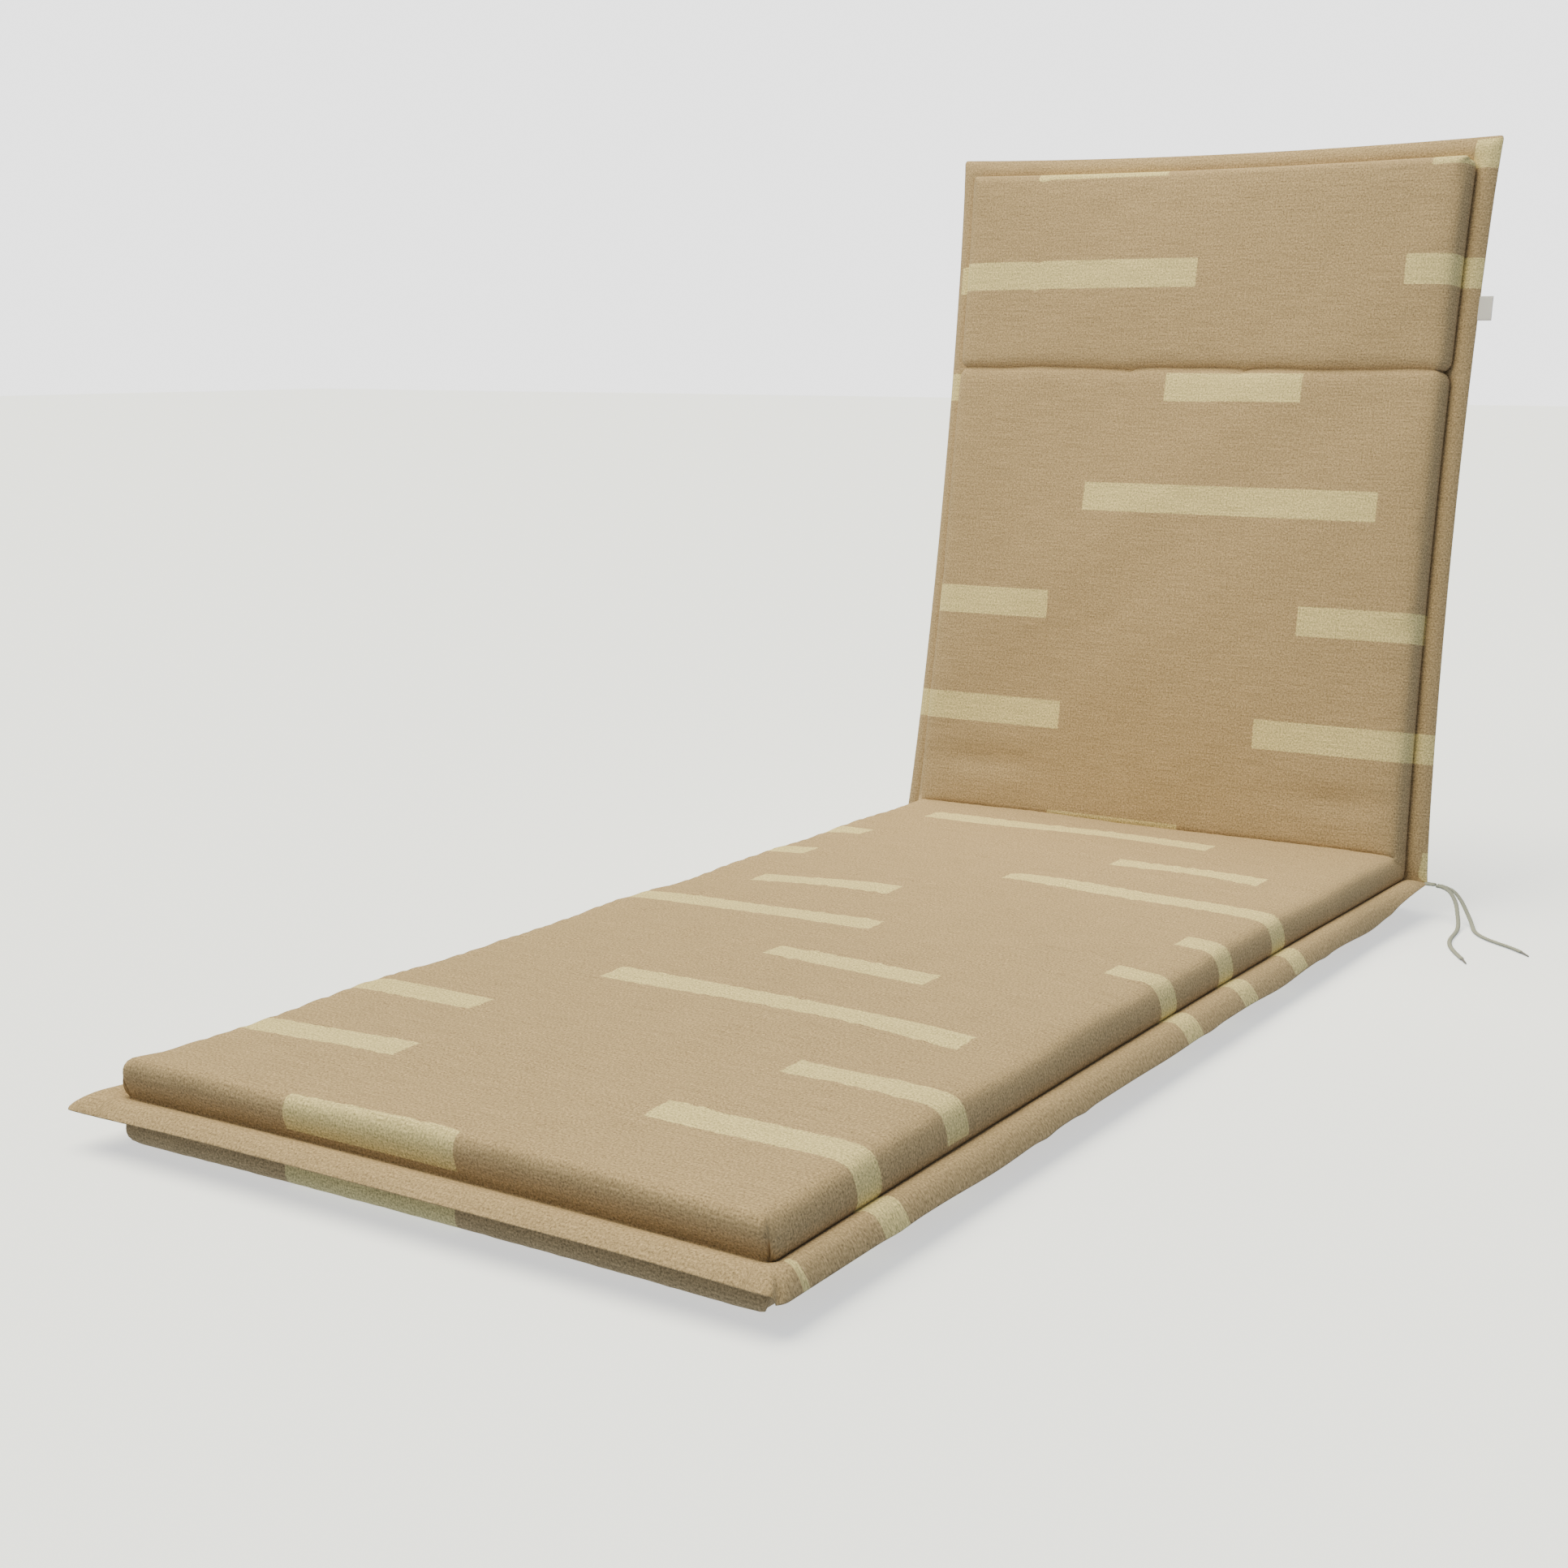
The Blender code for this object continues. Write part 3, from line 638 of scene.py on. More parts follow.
def add_piece(name, mesh, material, replaced):
    """Links the mesh as a piece of the object that stands for CAD nodes."""
    mesh.materials.append(material)
    piece = bpy.data.objects.new(name, mesh)
    bpy.context.scene.collection.objects.link(piece)
    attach(piece, "root")
    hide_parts(*replaced)
    return piece


def make_cover(material):
    """The cushion: two sheets over one flat grid, which share the outer edge of the flange."""
    across = lines_across()
    along = lines_along()
    rows, columns = len(along), len(across)
    x, s = np.meshgrid(across, along)
    simulation = simulate_sheet()
    upper = sheet_points(x, s, True, carried_shift(x, s, simulation)).reshape(-1, 3)
    lower = sheet_points(x, s, False).reshape(-1, 3)
    row, column = np.divmod(np.arange(rows * columns), columns)
    on_edge = (row == 0) | (row == rows - 1) | (column == 0) | (column == columns - 1)
    upper_cloth = cloth_places(sheet_points(x, s, True, detail=0.0), x, s)
    lower_cloth = cloth_places(sheet_points(x, s, False, detail=0.0), x, s)
    section = np.searchsorted(SECTION_LINES, (along[:-1] + along[1:]) / 2) - 1
    section = np.repeat(section, columns - 1)[:, None]
    lower_index = np.where(on_edge, np.arange(rows * columns), 0)
    lower_index[~on_edge] = rows * columns + np.arange(np.count_nonzero(~on_edge))
    top_faces = grid_faces(rows, columns, 0)
    bottom_faces = lower_index[top_faces][:, ::-1]
    points = np.concatenate([upper, lower[~on_edge]])
    cloth = np.concatenate([upper_cloth[section, top_faces], lower_cloth[section, top_faces[:, ::-1]]])
    mesh = build_mesh("cushion_cover", points, np.concatenate([top_faces, bottom_faces]), cloth)
    cover = add_piece("cushion_cover", mesh, material, ["cushion"])
    return cover


class ShaderTree:
    """A node tree with short calls to add a node, join sockets and do sums."""

    def __init__(self, tree):
        self.tree = tree

    def add(self, kind, inputs=None, **settings):
        """Adds a node, sets its properties, and fills its inputs with values or other sockets."""
        node = self.tree.nodes.new(kind)
        for name, value in settings.items():
            setattr(node, name, value)
        for key, value in (inputs or {}).items():
            if isinstance(value, bpy.types.NodeSocket):
                self.tree.links.new(value, node.inputs[key])
            else:
                node.inputs[key].default_value = value
        return node

    def sum(self, operation, *values):
        """The result socket of one Math node."""
        return self.add("ShaderNodeMath", dict(enumerate(values)), operation=operation).outputs[0]

    def blend(self, share, first, second, mode="MIX"):
        """The colour socket of one Mix node."""
        node = self.add("ShaderNodeMix", {0: share, 6: first, 7: second}, data_type="RGBA", blend_type=mode)
        return node.outputs[2]

    def grey(self, value):
        """The colour socket of a grey of the given value."""
        return self.add("ShaderNodeCombineColor", {0: value, 1: value, 2: value}).outputs[0]

    def remap(self, value, low, high, to_low, to_high):
        """A clamped Map Range."""
        inputs = {0: value, 1: low, 2: high, 3: to_low, 4: to_high}
        return self.add("ShaderNodeMapRange", inputs).outputs[0]


def new_group(name, inputs, outputs):
    """A shader node group with named inputs and outputs, its tree and its input sockets."""
    group = bpy.data.node_groups.new(name, "ShaderNodeTree")
    for socket, (kind, value) in inputs.items():
        item = group.interface.new_socket(name=socket, in_out="INPUT", socket_type=kind)
        if value is not None:
            item.default_value = value
    for socket, kind in outputs.items():
        group.interface.new_socket(name=socket, in_out="OUTPUT", socket_type=kind)
    tree = ShaderTree(group)
    entry = tree.add("NodeGroupInput").outputs
    leave = tree.add("NodeGroupOutput").inputs
    return group, tree, entry, leave


def join(tree, socket, target):
    """Links a socket to a target input."""
    tree.tree.links.new(socket, target)


def make_yarn_weave_group():
    """Plain weave: warp and weft yarns as rounded waves that pass over each other in turn."""
    floats = "NodeSocketFloat"
    inputs = {"Vector": ("NodeSocketVector", None), "Pitch": (floats, 0.0009), "Wander": (floats, 0.1)}
    group, tree, entry, leave = new_group("yarn_weave", inputs, {"Height": floats})
    wander = tree.add("ShaderNodeTexNoise", {"Vector": entry["Vector"], "Scale": 90.0, "Detail": 1.0})
    shift = tree.sum("MULTIPLY", tree.sum("SUBTRACT", wander.outputs["Fac"], 0.5),
                     tree.sum("MULTIPLY", entry["Wander"], entry["Pitch"]))
    parts = tree.add("ShaderNodeSeparateXYZ", {0: entry["Vector"]}).outputs
    across = tree.sum("DIVIDE", tree.sum("ADD", parts["X"], shift), entry["Pitch"])
    along = tree.sum("DIVIDE", tree.sum("ADD", parts["Y"], shift), entry["Pitch"])
    warp = tree.sum("SINE", tree.sum("MULTIPLY", across, math.pi * 2))
    weft = tree.sum("SINE", tree.sum("MULTIPLY", along, math.pi * 2))
    checker = tree.sum("MULTIPLY", warp, weft)
    ribs = tree.sum("MAXIMUM", tree.sum("ABSOLUTE", warp), tree.sum("ABSOLUTE", weft))
    height = tree.sum("ADD", tree.sum("MULTIPLY", checker, 0.3), tree.sum("MULTIPLY", ribs, 0.7))
    join(tree, height, leave["Height"])
    return group


def make_melange_group():
    """Mixed fibres: fine specks, longer slubs along the weft and faint ones along the warp."""
    floats = "NodeSocketFloat"
    inputs = {"Vector": ("NodeSocketVector", None), "Speck Size": (floats, 0.0022),
              "Slub Length": (floats, 0.05), "Slub Height": (floats, 0.0022)}
    outputs = {"Specks": floats, "Weft Slubs": floats, "Warp Slubs": floats}
    group, tree, entry, leave = new_group("melange", inputs, outputs)
    fine = tree.sum("DIVIDE", 1.0, entry["Speck Size"])
    specks = tree.add("ShaderNodeTexNoise", {"Vector": entry["Vector"], "Scale": fine,
                                             "Detail": 2.5, "Roughness": 0.75})
    join(tree, specks.outputs["Fac"], leave["Specks"])
    for name, flip in (("Weft Slubs", False), ("Warp Slubs", True)):
        long_scale = tree.sum("DIVIDE", 1.0, entry["Slub Length"])
        short_scale = tree.sum("DIVIDE", 1.0, entry["Slub Height"])
        pair = (short_scale, long_scale) if flip else (long_scale, short_scale)
        stretch = tree.add("ShaderNodeCombineXYZ", {0: pair[0], 1: pair[1], 2: 1.0}).outputs[0]
        placed = tree.add("ShaderNodeVectorMath", {0: entry["Vector"], 1: stretch}, operation="MULTIPLY")
        slubs = tree.add("ShaderNodeTexNoise", {"Vector": placed.outputs[0], "Scale": 1.0,
                                                "Detail": 2.0, "Roughness": 0.6})
        join(tree, slubs.outputs["Fac"], leave[name])
    return group


def make_dash_group():
    """Rows of straight, square-ended dashes: each row is shifted against the one before it."""
    floats = "NodeSocketFloat"
    inputs = {"Vector": ("NodeSocketVector", None), "Row Pitch": (floats, 0.2), "Row Start": (floats, 0.0),
              "Height": (floats, 0.03), "Period": (floats, 0.4), "Length": (floats, 0.2),
              "Row Shift": (floats, 0.15), "Softness": (floats, 0.0008)}
    group, tree, entry, leave = new_group("dash_rows", inputs, {"Mask": floats})
    parts = tree.add("ShaderNodeSeparateXYZ", {0: entry["Vector"]}).outputs
    ragged = tree.add("ShaderNodeTexNoise", {"Vector": entry["Vector"], "Scale": 900.0, "Detail": 0.0})
    jitter = tree.sum("MULTIPLY", tree.sum("SUBTRACT", ragged.outputs["Fac"], 0.5), 0.0016)
    rows = tree.sum("DIVIDE", tree.sum("SUBTRACT", parts["Y"], entry["Row Start"]), entry["Row Pitch"])
    row = tree.sum("FLOOR", rows)
    from_middle = tree.sum("SUBTRACT", tree.sum("SUBTRACT", rows, row), 0.5)
    in_row = tree.sum("MULTIPLY", from_middle, entry["Row Pitch"])
    slid = tree.sum("ADD", parts["X"], tree.sum("MULTIPLY", row, entry["Row Shift"]))
    turns = tree.sum("DIVIDE", slid, entry["Period"])
    from_centre = tree.sum("SUBTRACT", tree.sum("FRACT", turns), 0.5)
    in_period = tree.sum("MULTIPLY", from_centre, entry["Period"])
    masks = []
    for place, size in ((in_row, entry["Height"]), (in_period, entry["Length"])):
        inside = tree.sum("SUBTRACT", tree.sum("MULTIPLY", size, 0.5), tree.sum("ABSOLUTE", place))
        edge = tree.sum("DIVIDE", tree.sum("ADD", inside, jitter), entry["Softness"])
        masks.append(tree.remap(edge, -0.5, 0.5, 0.0, 1.0))
    join(tree, tree.sum("MULTIPLY", *masks), leave["Mask"])
    return group


def use_group(tree, group, inputs):
    """Places a node group in a tree with its own values."""
    return tree.add("ShaderNodeGroup", inputs, node_tree=group).outputs


def new_material(name, roughness, sheen):
    """A cloth-like material, its tree and its Principled shader."""
    material = bpy.data.materials.new(name)
    material.use_nodes = True
    tree = ShaderTree(material.node_tree)
    shader = material.node_tree.nodes["Principled BSDF"]
    shader.inputs["Roughness"].default_value = roughness
    shader.inputs["Sheen Weight"].default_value = sheen
    shader.inputs["Sheen Roughness"].default_value = 0.55
    shader.inputs["Specular IOR Level"].default_value = 0.12
    return material, tree, shader


def set_bump(tree, shader, height, distance, strength):
    """Feeds a height into the shader's normal through a Bump node."""
    bump = tree.add("ShaderNodeBump", {"Height": height, "Distance": distance, "Strength": strength})
    join(tree, bump.outputs["Normal"], shader.inputs["Normal"])


def make_cover_fabric(weave, melange, dashes):
    """Warm tan melange in plain weave, with rows of pale straw dashes woven in."""
    material, tree, shader = new_material("cover_fabric", 0.95, 0.06)
    cloth = tree.add("ShaderNodeUVMap", uv_map="cloth").outputs[0]
    threads = use_group(tree, weave, {"Vector": cloth, "Pitch": 0.0011, "Wander": 0.35})
    fibres = use_group(tree, melange, {"Vector": cloth, "Speck Size": 0.0017,
                                       "Slub Length": 0.045, "Slub Height": 0.0016})
    long_rows = use_group(tree, dashes, {"Vector": cloth, "Row Pitch": 0.236, "Row Start": 0.020,
                                         "Height": 0.030, "Period": 0.540, "Length": 0.320,
                                         "Row Shift": 0.215})
    short_rows = use_group(tree, dashes, {"Vector": cloth, "Row Pitch": 0.236, "Row Start": 0.138,
                                          "Height": 0.030, "Period": 0.430, "Length": 0.150,
                                          "Row Shift": 0.170})
    dash = tree.sum("MAXIMUM", long_rows["Mask"], short_rows["Mask"])
    ground = tree.blend(dash, (0.462, 0.342, 0.196, 1), (0.740, 0.630, 0.315, 1))
    specks = tree.remap(fibres["Specks"], 0.25, 0.75, 0.32, 1.68)
    weft = tree.remap(fibres["Weft Slubs"], 0.25, 0.75, 0.84, 1.16)
    warp = tree.remap(fibres["Warp Slubs"], 0.25, 0.75, 0.95, 1.05)
    thread_tone = tree.remap(threads["Height"], 0.2, 1.0, 0.92, 1.04)
    tone = tree.sum("MULTIPLY", tree.sum("MULTIPLY", specks, weft), tree.sum("MULTIPLY", warp, thread_tone))
    join(tree, tree.blend(1.0, ground, tree.grey(tone), "MULTIPLY"), shader.inputs["Base Color"])
    height = tree.sum("ADD", tree.sum("MULTIPLY", threads["Height"], 0.6),
                      tree.sum("MULTIPLY", fibres["Weft Slubs"], 0.8))
    set_bump(tree, shader, height, 0.0004, 0.55)
    return material


def smooth_route(route, step):
    """Evenly spaced points on a Catmull-Rom curve through the route, as an array."""
    knots = np.array(route, dtype=float)
    knots = np.vstack([2 * knots[0] - knots[1], knots, 2 * knots[-1] - knots[-2]])
    part = np.linspace(0, 1, 24, endpoint=False)[None, :, None]
    before, start, end, after = (knots[i:len(knots) - 3 + i][:, None, :] for i in range(4))
    fine = 0.5 * (2 * start + (end - before) * part
                  + (2 * before - 5 * start + 4 * end - after) * part ** 2
                  + (3 * start - before - 3 * end + after) * part ** 3)
    fine = np.vstack([fine.reshape(-1, 3), knots[-2]])
    travelled = np.append(0, np.cumsum(np.linalg.norm(np.diff(fine, axis=0), axis=1)))
    stations = np.linspace(0, travelled[-1], round(travelled[-1] / step) + 1)
    return np.stack([np.interp(stations, travelled, fine[:, axis]) for axis in range(3)], axis=1)


def path_frames(path):
    """Tangent, level side and up direction at each point of a path."""
    ahead = np.gradient(path, axis=0)
    ahead /= np.linalg.norm(ahead, axis=1, keepdims=True)
    side = np.cross(ahead, [0.0, 0.0, 1.0])
    side /= np.linalg.norm(side, axis=1, keepdims=True)
    return ahead, side, np.cross(side, ahead)


def mesh_with_point_uv(name, points, faces, point_uv):
    """A smooth-shaded mesh whose UV is given for each point."""
    mesh = bpy.data.meshes.new(name)
    mesh.from_pydata(points.tolist(), [], faces)
    layer = mesh.uv_layers.new(name="cloth")
    loops = np.empty(len(mesh.loops), dtype=np.int32)
    mesh.loops.foreach_get("vertex_index", loops)
    layer.data.foreach_set("uv", point_uv[loops].astype(np.float32).ravel())
    mesh.shade_smooth()
    return mesh


def tube_mesh(name, path, offsets, uv):
    """A closed tube: rings of side and up offsets carried along a path, with a fan at either end."""
    ahead, side, up = path_frames(path)
    rings = (path[:, None, :] + offsets[:, :, 0:1] * side[:, None, :] + offsets[:, :, 1:2] * up[:, None, :])
    count, sides = rings.shape[:2]
    points = np.vstack([rings.reshape(-1, 3), rings[0].mean(axis=0), rings[-1].mean(axis=0)])
    row = np.arange(count - 1)[:, None] * sides
    here = np.arange(sides)[None, :]
    beside = (here + 1) % sides
    quads = np.stack([row + here, row + beside, row + sides + beside, row + sides + here], axis=-1)
    first, last = count * sides, count * sides + 1
    ring = np.arange(sides)
    after = (ring + 1) % sides
    base = (count - 1) * sides
    start_fan = np.stack([np.full(sides, first), after, ring], axis=1)
    end_fan = np.stack([np.full(sides, last), base + ring, base + after], axis=1)
    faces = quads.reshape(-1, 4).tolist() + start_fan.tolist() + end_fan.tolist()
    all_uv = np.vstack([uv.reshape(-1, 2), uv[0].mean(axis=0), uv[-1].mean(axis=0)])
    return mesh_with_point_uv(name, points, faces, all_uv)


def braid_offsets(stations, length):
    """Rings of a flat braid: an ellipse whose skin swells where a crossing strand is on top."""
    turn = np.linspace(0, 2 * np.pi, TIE_SIDES, endpoint=False)[None, :]
    along = (stations / BRAID_PITCH * 2 * np.pi)[:, None]
    half_strands = BRAID_STRANDS / 2
    left = np.cos(half_strands * turn + along)
    right = np.cos(half_strands * turn - along)
    relief = BRAID_RELIEF * (np.maximum(left, right) - 0.3)
    from_end = np.minimum(stations, length - stations)
    rounding = np.sqrt(np.clip(1 - (1 - np.clip(from_end / TIE_END_ROUND, 0, 1)) ** 2, 0.05, 1))[:, None]
    wide = (TIE_WIDTH / 2 - BRAID_RELIEF + relief) * rounding
    thick = (TIE_THICKNESS / 2 - BRAID_RELIEF + relief) * rounding
    offsets = np.stack([wide * np.cos(turn), -thick * np.sin(turn)], axis=-1)
    uv = np.stack(np.broadcast_arrays(turn * TIE_WIDTH / 2, stations[:, None]), axis=-1)
    return offsets, uv


def make_tie_end(name, route, cord_material, tip_material):
    """One free end of the tie on the surface, with its hardened tip."""
    path = smooth_route(route, TIE_RING_STEP)
    lift = TIE_THICKNESS / 2 + 0.0002
    path[:, 2] = np.maximum(path[:, 2] - (TIE_WIDTH - TIE_THICKNESS) / 2, lift)
    stations = np.append(0, np.cumsum(np.linalg.norm(np.diff(path, axis=0), axis=1)))
    offsets, uv = braid_offsets(stations, stations[-1])
    mesh = tube_mesh(name + "_cord", path, offsets, uv)
    cord = add_piece(name + "_cord", mesh, cord_material, [name])
    tip = make_tip(name + "_tip", path, tip_material)
    return cord


def make_tip(name, path, material):
    """A hardened cord end: a slim, slightly crimped taper that comes down onto the surface."""
    heading = path[-1] - path[-8]
    heading[2] = 0
    heading /= np.linalg.norm(heading)
    start = path[-1] + heading * 0.0002
    finish = start + heading * TIP_LENGTH
    finish[2] = TIP_RADII[1] + 0.0003
    part = np.linspace(0, 1, 40)
    axis = start[None, :] + (finish - start)[None, :] * part[:, None]
    radius = TIP_RADII[0] + (TIP_RADII[1] - TIP_RADII[0]) * part
    radius = radius * (1 + 0.06 * np.sin(part * 2 * np.pi * 7))
    end_round = np.sqrt(np.clip(1 - np.clip((part - 0.95) / 0.05, 0, 1) ** 2, 0.04, 1))
    turn = np.linspace(0, 2 * np.pi, 16, endpoint=False)[None, :]
    ring = (radius * end_round)[:, None]
    offsets = np.stack([ring * np.cos(turn), -ring * np.sin(turn)], axis=-1)
    uv = np.stack(np.broadcast_arrays(turn * TIP_RADII[0], part[:, None] * TIP_LENGTH), axis=-1)
    mesh = tube_mesh(name + "_end", axis, offsets, uv)
    return add_piece(name + "_end", mesh, material, [name])


def make_tie_root(material):
    """The folded middle of the cord: a flat bight out of the seam, wide enough for both ends."""
    start = WIDTH / 2 - ROOT_IN_SEAM
    finish = WIDTH / 2 + ROOT_GAP + ROOT_LENGTH
    part = np.linspace(0, 1, 60)
    path = np.stack([start + (finish - start) * part, np.full(60, FOLD_Y), np.full(60, LOWER_RISE)], axis=1)
    turn = np.linspace(0, 2 * np.pi, TIE_SIDES, endpoint=False)[None, :]
    rounding = np.sqrt(np.clip(1 - (2 * np.abs(part - 0.5)) ** 8, 0.04, 1))[:, None]
    twin = 1 + 0.10 * np.cos(2 * turn)
    run = part[:, None] * 18
    weave = 1 + 0.05 * np.maximum(np.cos(3 * turn + run), np.cos(3 * turn - run))
    wide = ROOT_HALF_WIDTH * rounding * twin * weave
    thick = ROOT_HALF_THICKNESS * rounding * twin * weave
    offsets = np.stack([wide * np.cos(turn), -thick * np.sin(turn)], axis=-1)
    uv = np.stack(np.broadcast_arrays(turn * 0.004, part[:, None] * (finish - start)), axis=-1)
    mesh = tube_mesh("tie_bight", path, offsets, uv)
    return add_piece("tie_bight", mesh, material, ["tie_root"])


def make_tie_material(weave):
    """Pale grey-green braid: crossing yarns as a fine diagonal weave."""
    material, tree, shader = new_material("tie_cord", 0.85, 0.15)
    cloth = tree.add("ShaderNodeUVMap", uv_map="cloth").outputs[0]
    turned = tree.add("ShaderNodeVectorRotate", {"Vector": cloth, "Angle": math.radians(40)},
                      rotation_type="Z_AXIS")
    threads = use_group(tree, weave, {"Vector": turned.outputs[0], "Pitch": 0.0007, "Wander": 0.3})
    noise = tree.add("ShaderNodeTexNoise", {"Vector": cloth, "Scale": 900.0, "Detail": 2.0})
    shade = tree.sum("MULTIPLY", tree.remap(threads["Height"], 0.1, 1.0, 0.70, 1.08),
                     tree.remap(noise.outputs["Fac"], 0.3, 0.7, 0.88, 1.10))
    colour = tree.blend(1.0, (0.47, 0.50, 0.44, 1), tree.grey(shade), "MULTIPLY")
    join(tree, colour, shader.inputs["Base Color"])
    set_bump(tree, shader, threads["Height"], 0.0003, 0.8)
    return material


def make_tip_material():
    """Hardened, slightly glossy end of the cord."""
    material, tree, shader = new_material("tie_tip", 0.45, 0.0)
    cloth = tree.add("ShaderNodeUVMap", uv_map="cloth").outputs[0]
    noise = tree.add("ShaderNodeTexNoise", {"Vector": cloth, "Scale": 1500.0, "Detail": 2.0})
    shade = tree.remap(noise.outputs["Fac"], 0.3, 0.7, 0.16, 0.30)
    join(tree, tree.grey(shade), shader.inputs["Base Color"])
    set_bump(tree, shader, noise.outputs["Fac"], 0.0002, 0.5)
    return material


def make_tab_material(weave):
    """Fine woven tape, pale grey and blank."""
    material, tree, shader = new_material("side_tab", 0.6, 0.1)
    cloth = tree.add("ShaderNodeUVMap", uv_map="cloth").outputs[0]
    threads = use_group(tree, weave, {"Vector": cloth, "Pitch": 0.00045, "Wander": 0.1})
    shade = tree.remap(threads["Height"], 0.1, 1.0, 0.70, 0.84)
    cool = tree.sum("MULTIPLY", shade, 1.03)
    colour = tree.add("ShaderNodeCombineColor", {0: shade, 1: shade, 2: cool}).outputs[0]
    join(tree, colour, shader.inputs["Base Color"])
    set_bump(tree, shader, threads["Height"], 0.0001, 0.5)
    return material


def make_side_tab(material):
    """The blank tab: one strip of tape folded double, its loop outward and both ends in the seam."""
    s = SEAT_LENGTH + TAB_CENTRE
    edge_x = float(plan_position(np.array([WIDTH / 2]), np.array([s]))[0][0])
    root = edge_x - TAB_IN_SEAM
    end = edge_x + TAB_GAP + TAB_REACH
    bend = TAB_HALF
    straight = end - bend - root
    arc = np.linspace(-np.pi / 2, np.pi / 2, 14)
    run = np.linspace(0, straight, 16, endpoint=False)
    outer_x = np.concatenate([root + run, root + straight + bend * np.cos(arc), root + straight - run])
    outer_h = np.concatenate([np.full(16, -bend), bend * np.sin(arc), np.full(16, bend)])
    height = np.linspace(-TAB_HEIGHT / 2, TAB_HEIGHT / 2, 24)
    soft_edge = np.sqrt(np.clip(1 - (np.abs(height) / (TAB_HEIGHT / 2)) ** 24, 0.1, 1))
    bow = 0.0006 * np.cos(height / TAB_HEIGHT * np.pi) * 0.5
    xs = np.broadcast_to(outer_x, (24, len(outer_x)))
    hs = outer_h[None, :] * soft_edge[:, None] + bow[:, None] * ((xs - root) / (end - root)) ** 2
    along = s - SEAT_LENGTH + height[:, None] + 0 * xs
    y = along * math.cos(BACK_LEAN) - hs * math.sin(BACK_LEAN) + FOLD_Y
    z = along * math.sin(BACK_LEAN) + hs * math.cos(BACK_LEAN) + LOWER_RISE
    rings = np.stack([xs, y, z], axis=-1)
    rows, columns = xs.shape
    travelled = np.append(0, np.cumsum(np.hypot(np.diff(outer_x), np.diff(outer_h))))
    uv = np.stack(np.broadcast_arrays(travelled[None, :], height[:, None]), axis=-1)
    loop = np.arange(columns)
    after = (loop + 1) % columns
    row = np.arange(rows - 1)[:, None] * columns
    quads = np.stack([row + loop, row + after, row + columns + after, row + columns + loop], axis=-1)
    faces = quads.reshape(-1, 4).tolist() + [list(loop[::-1]), list((rows - 1) * columns + loop)]
    mesh = mesh_with_point_uv("woven_tab", rings.reshape(-1, 3), faces, uv.reshape(-1, 2))
    mesh.set_sharp_from_angle(angle=math.radians(50))
    return add_piece("woven_tab", mesh, material, ["side_tab"])


def make_floor():
    """A plain pale floor, not part of the object, that glows evenly onto it like a light table."""
    bpy.ops.mesh.primitive_plane_add(size=40, location=(0, 0, 0))
    floor = bpy.context.object
    floor.name = "studio_floor"
    material, tree, shader = new_material("studio_floor", 0.9, 0.0)
    shader.inputs["Base Color"].default_value = FLOOR_COLOUR
    shader.inputs["Emission Color"].default_value = SEEN_COLOUR
    shader.inputs["Emission Strength"].default_value = FLOOR_SEEN
    glow = tree.add("ShaderNodeEmission", {"Color": FLOOR_GLOW_COLOUR, "Strength": FLOOR_GLOW})
    seen = tree.add("ShaderNodeLightPath").outputs["Is Camera Ray"]
    mix = tree.add("ShaderNodeMixShader", {0: seen, 1: glow.outputs[0], 2: shader.outputs[0]})
    surface = material.node_tree.nodes["Material Output"].inputs["Surface"]
    join(tree, mix.outputs[0], surface)
    floor.data.materials.append(material)
    return floor


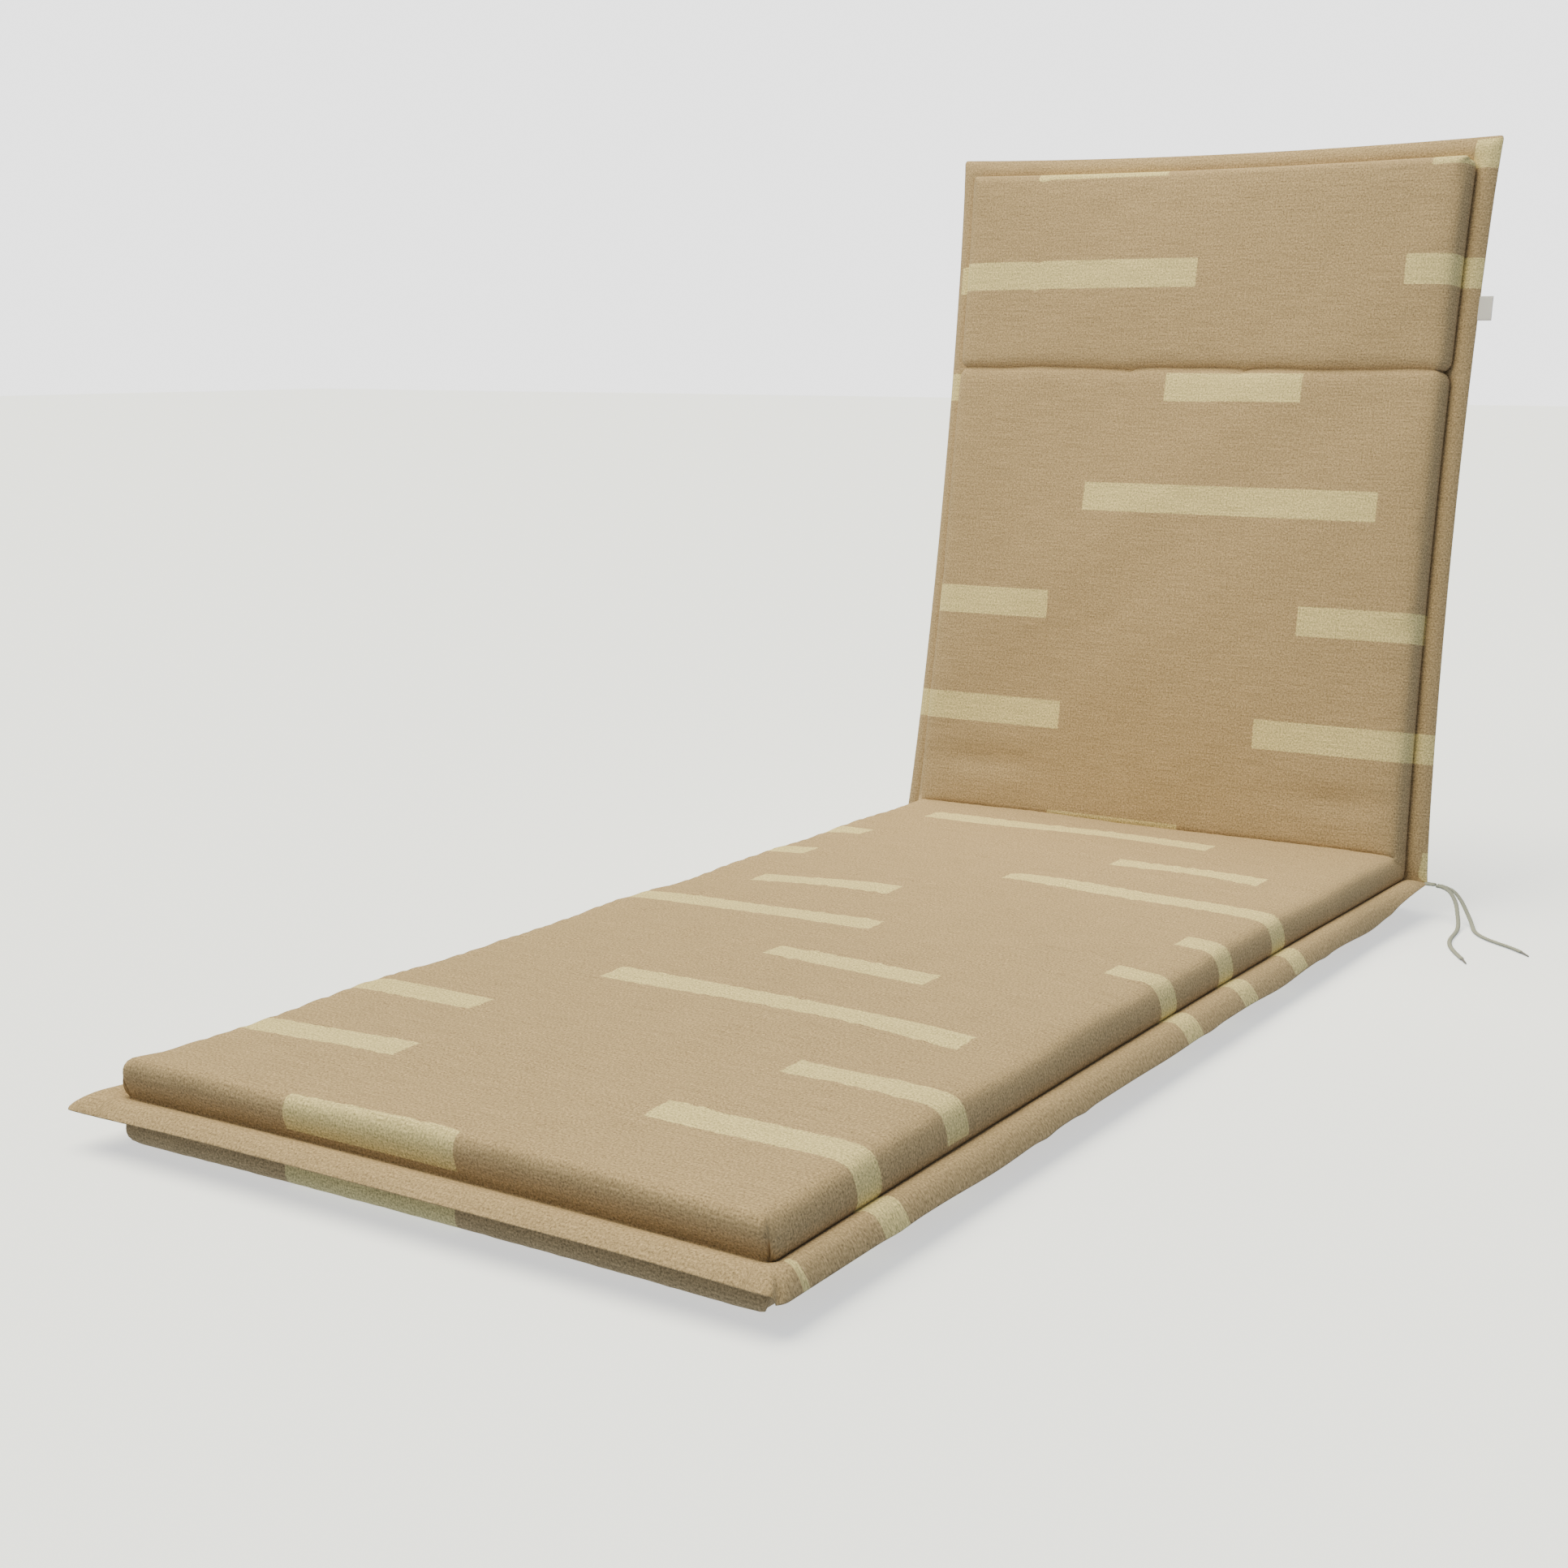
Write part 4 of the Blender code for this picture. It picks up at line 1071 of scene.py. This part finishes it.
def add_light(name, kind, strength, place, away):
    """A warm light at a place, whose back points the way that is given; its data is returned."""
    data = bpy.data.lights.new(name, kind)
    data.energy = strength
    data.color = KEY_COLOUR
    light = bpy.data.objects.new(name, data)
    bpy.context.scene.collection.objects.link(light)
    light.location = place
    light.rotation_euler = away.to_track_quat("Z", "Y").to_euler()
    return data


def make_studio():
    """A pale room, a distant light as wide as a large softbox, a softbox for the back, the camera."""
    world = bpy.data.worlds.new("studio")
    bpy.context.scene.world = world
    world.use_nodes = True
    tree = ShaderTree(world.node_tree)
    background = world.node_tree.nodes["Background"]
    seen = tree.add("ShaderNodeLightPath").outputs["Is Camera Ray"]
    strength = tree.remap(seen, 0.0, 1.0, ROOM_LIGHT, ROOM_SEEN)
    join(tree, strength, background.inputs["Strength"])
    join(tree, tree.blend(seen, ROOM_COLOUR, SEEN_COLOUR), background.inputs["Color"])
    key = add_light("key_light", "SUN", KEY_STRENGTH, KEY_TOWARDS, Vector(KEY_TOWARDS))
    key.angle = KEY_SPREAD
    away = Vector(BACK_LIGHT_PLACE) - Vector(BACK_LIGHT_TARGET)
    softbox = add_light("back_light", "AREA", BACK_LIGHT_POWER, BACK_LIGHT_PLACE, away)
    softbox.size = BACK_LIGHT_SIZE
    softbox.spread = BACK_LIGHT_CONE
    camera_data = bpy.data.cameras.new("camera")
    camera_data.lens = CAMERA_LENS
    camera_data.sensor_width = CAMERA_SENSOR
    camera_data.clip_end = 100
    camera = bpy.data.objects.new("camera", camera_data)
    bpy.context.scene.collection.objects.link(camera)
    camera.location = CAMERA_PLACE
    camera.rotation_euler = (CAMERA_PITCH, 0, CAMERA_TURN)
    bpy.context.scene.camera = camera


def main():
    weave = make_yarn_weave_group()
    melange = make_melange_group()
    dashes = make_dash_group()
    tie_material = make_tie_material(weave)
    tip_material = make_tip_material()
    make_studio()
    make_tie_root(tie_material)
    make_tie_end("tie_long", TIE_LONG_ROUTE, tie_material, tip_material)
    make_tie_end("tie_short", TIE_SHORT_ROUTE, tie_material, tip_material)
    make_cover(make_cover_fabric(weave, melange, dashes))
    make_side_tab(make_tab_material(weave))
    make_floor()


main()
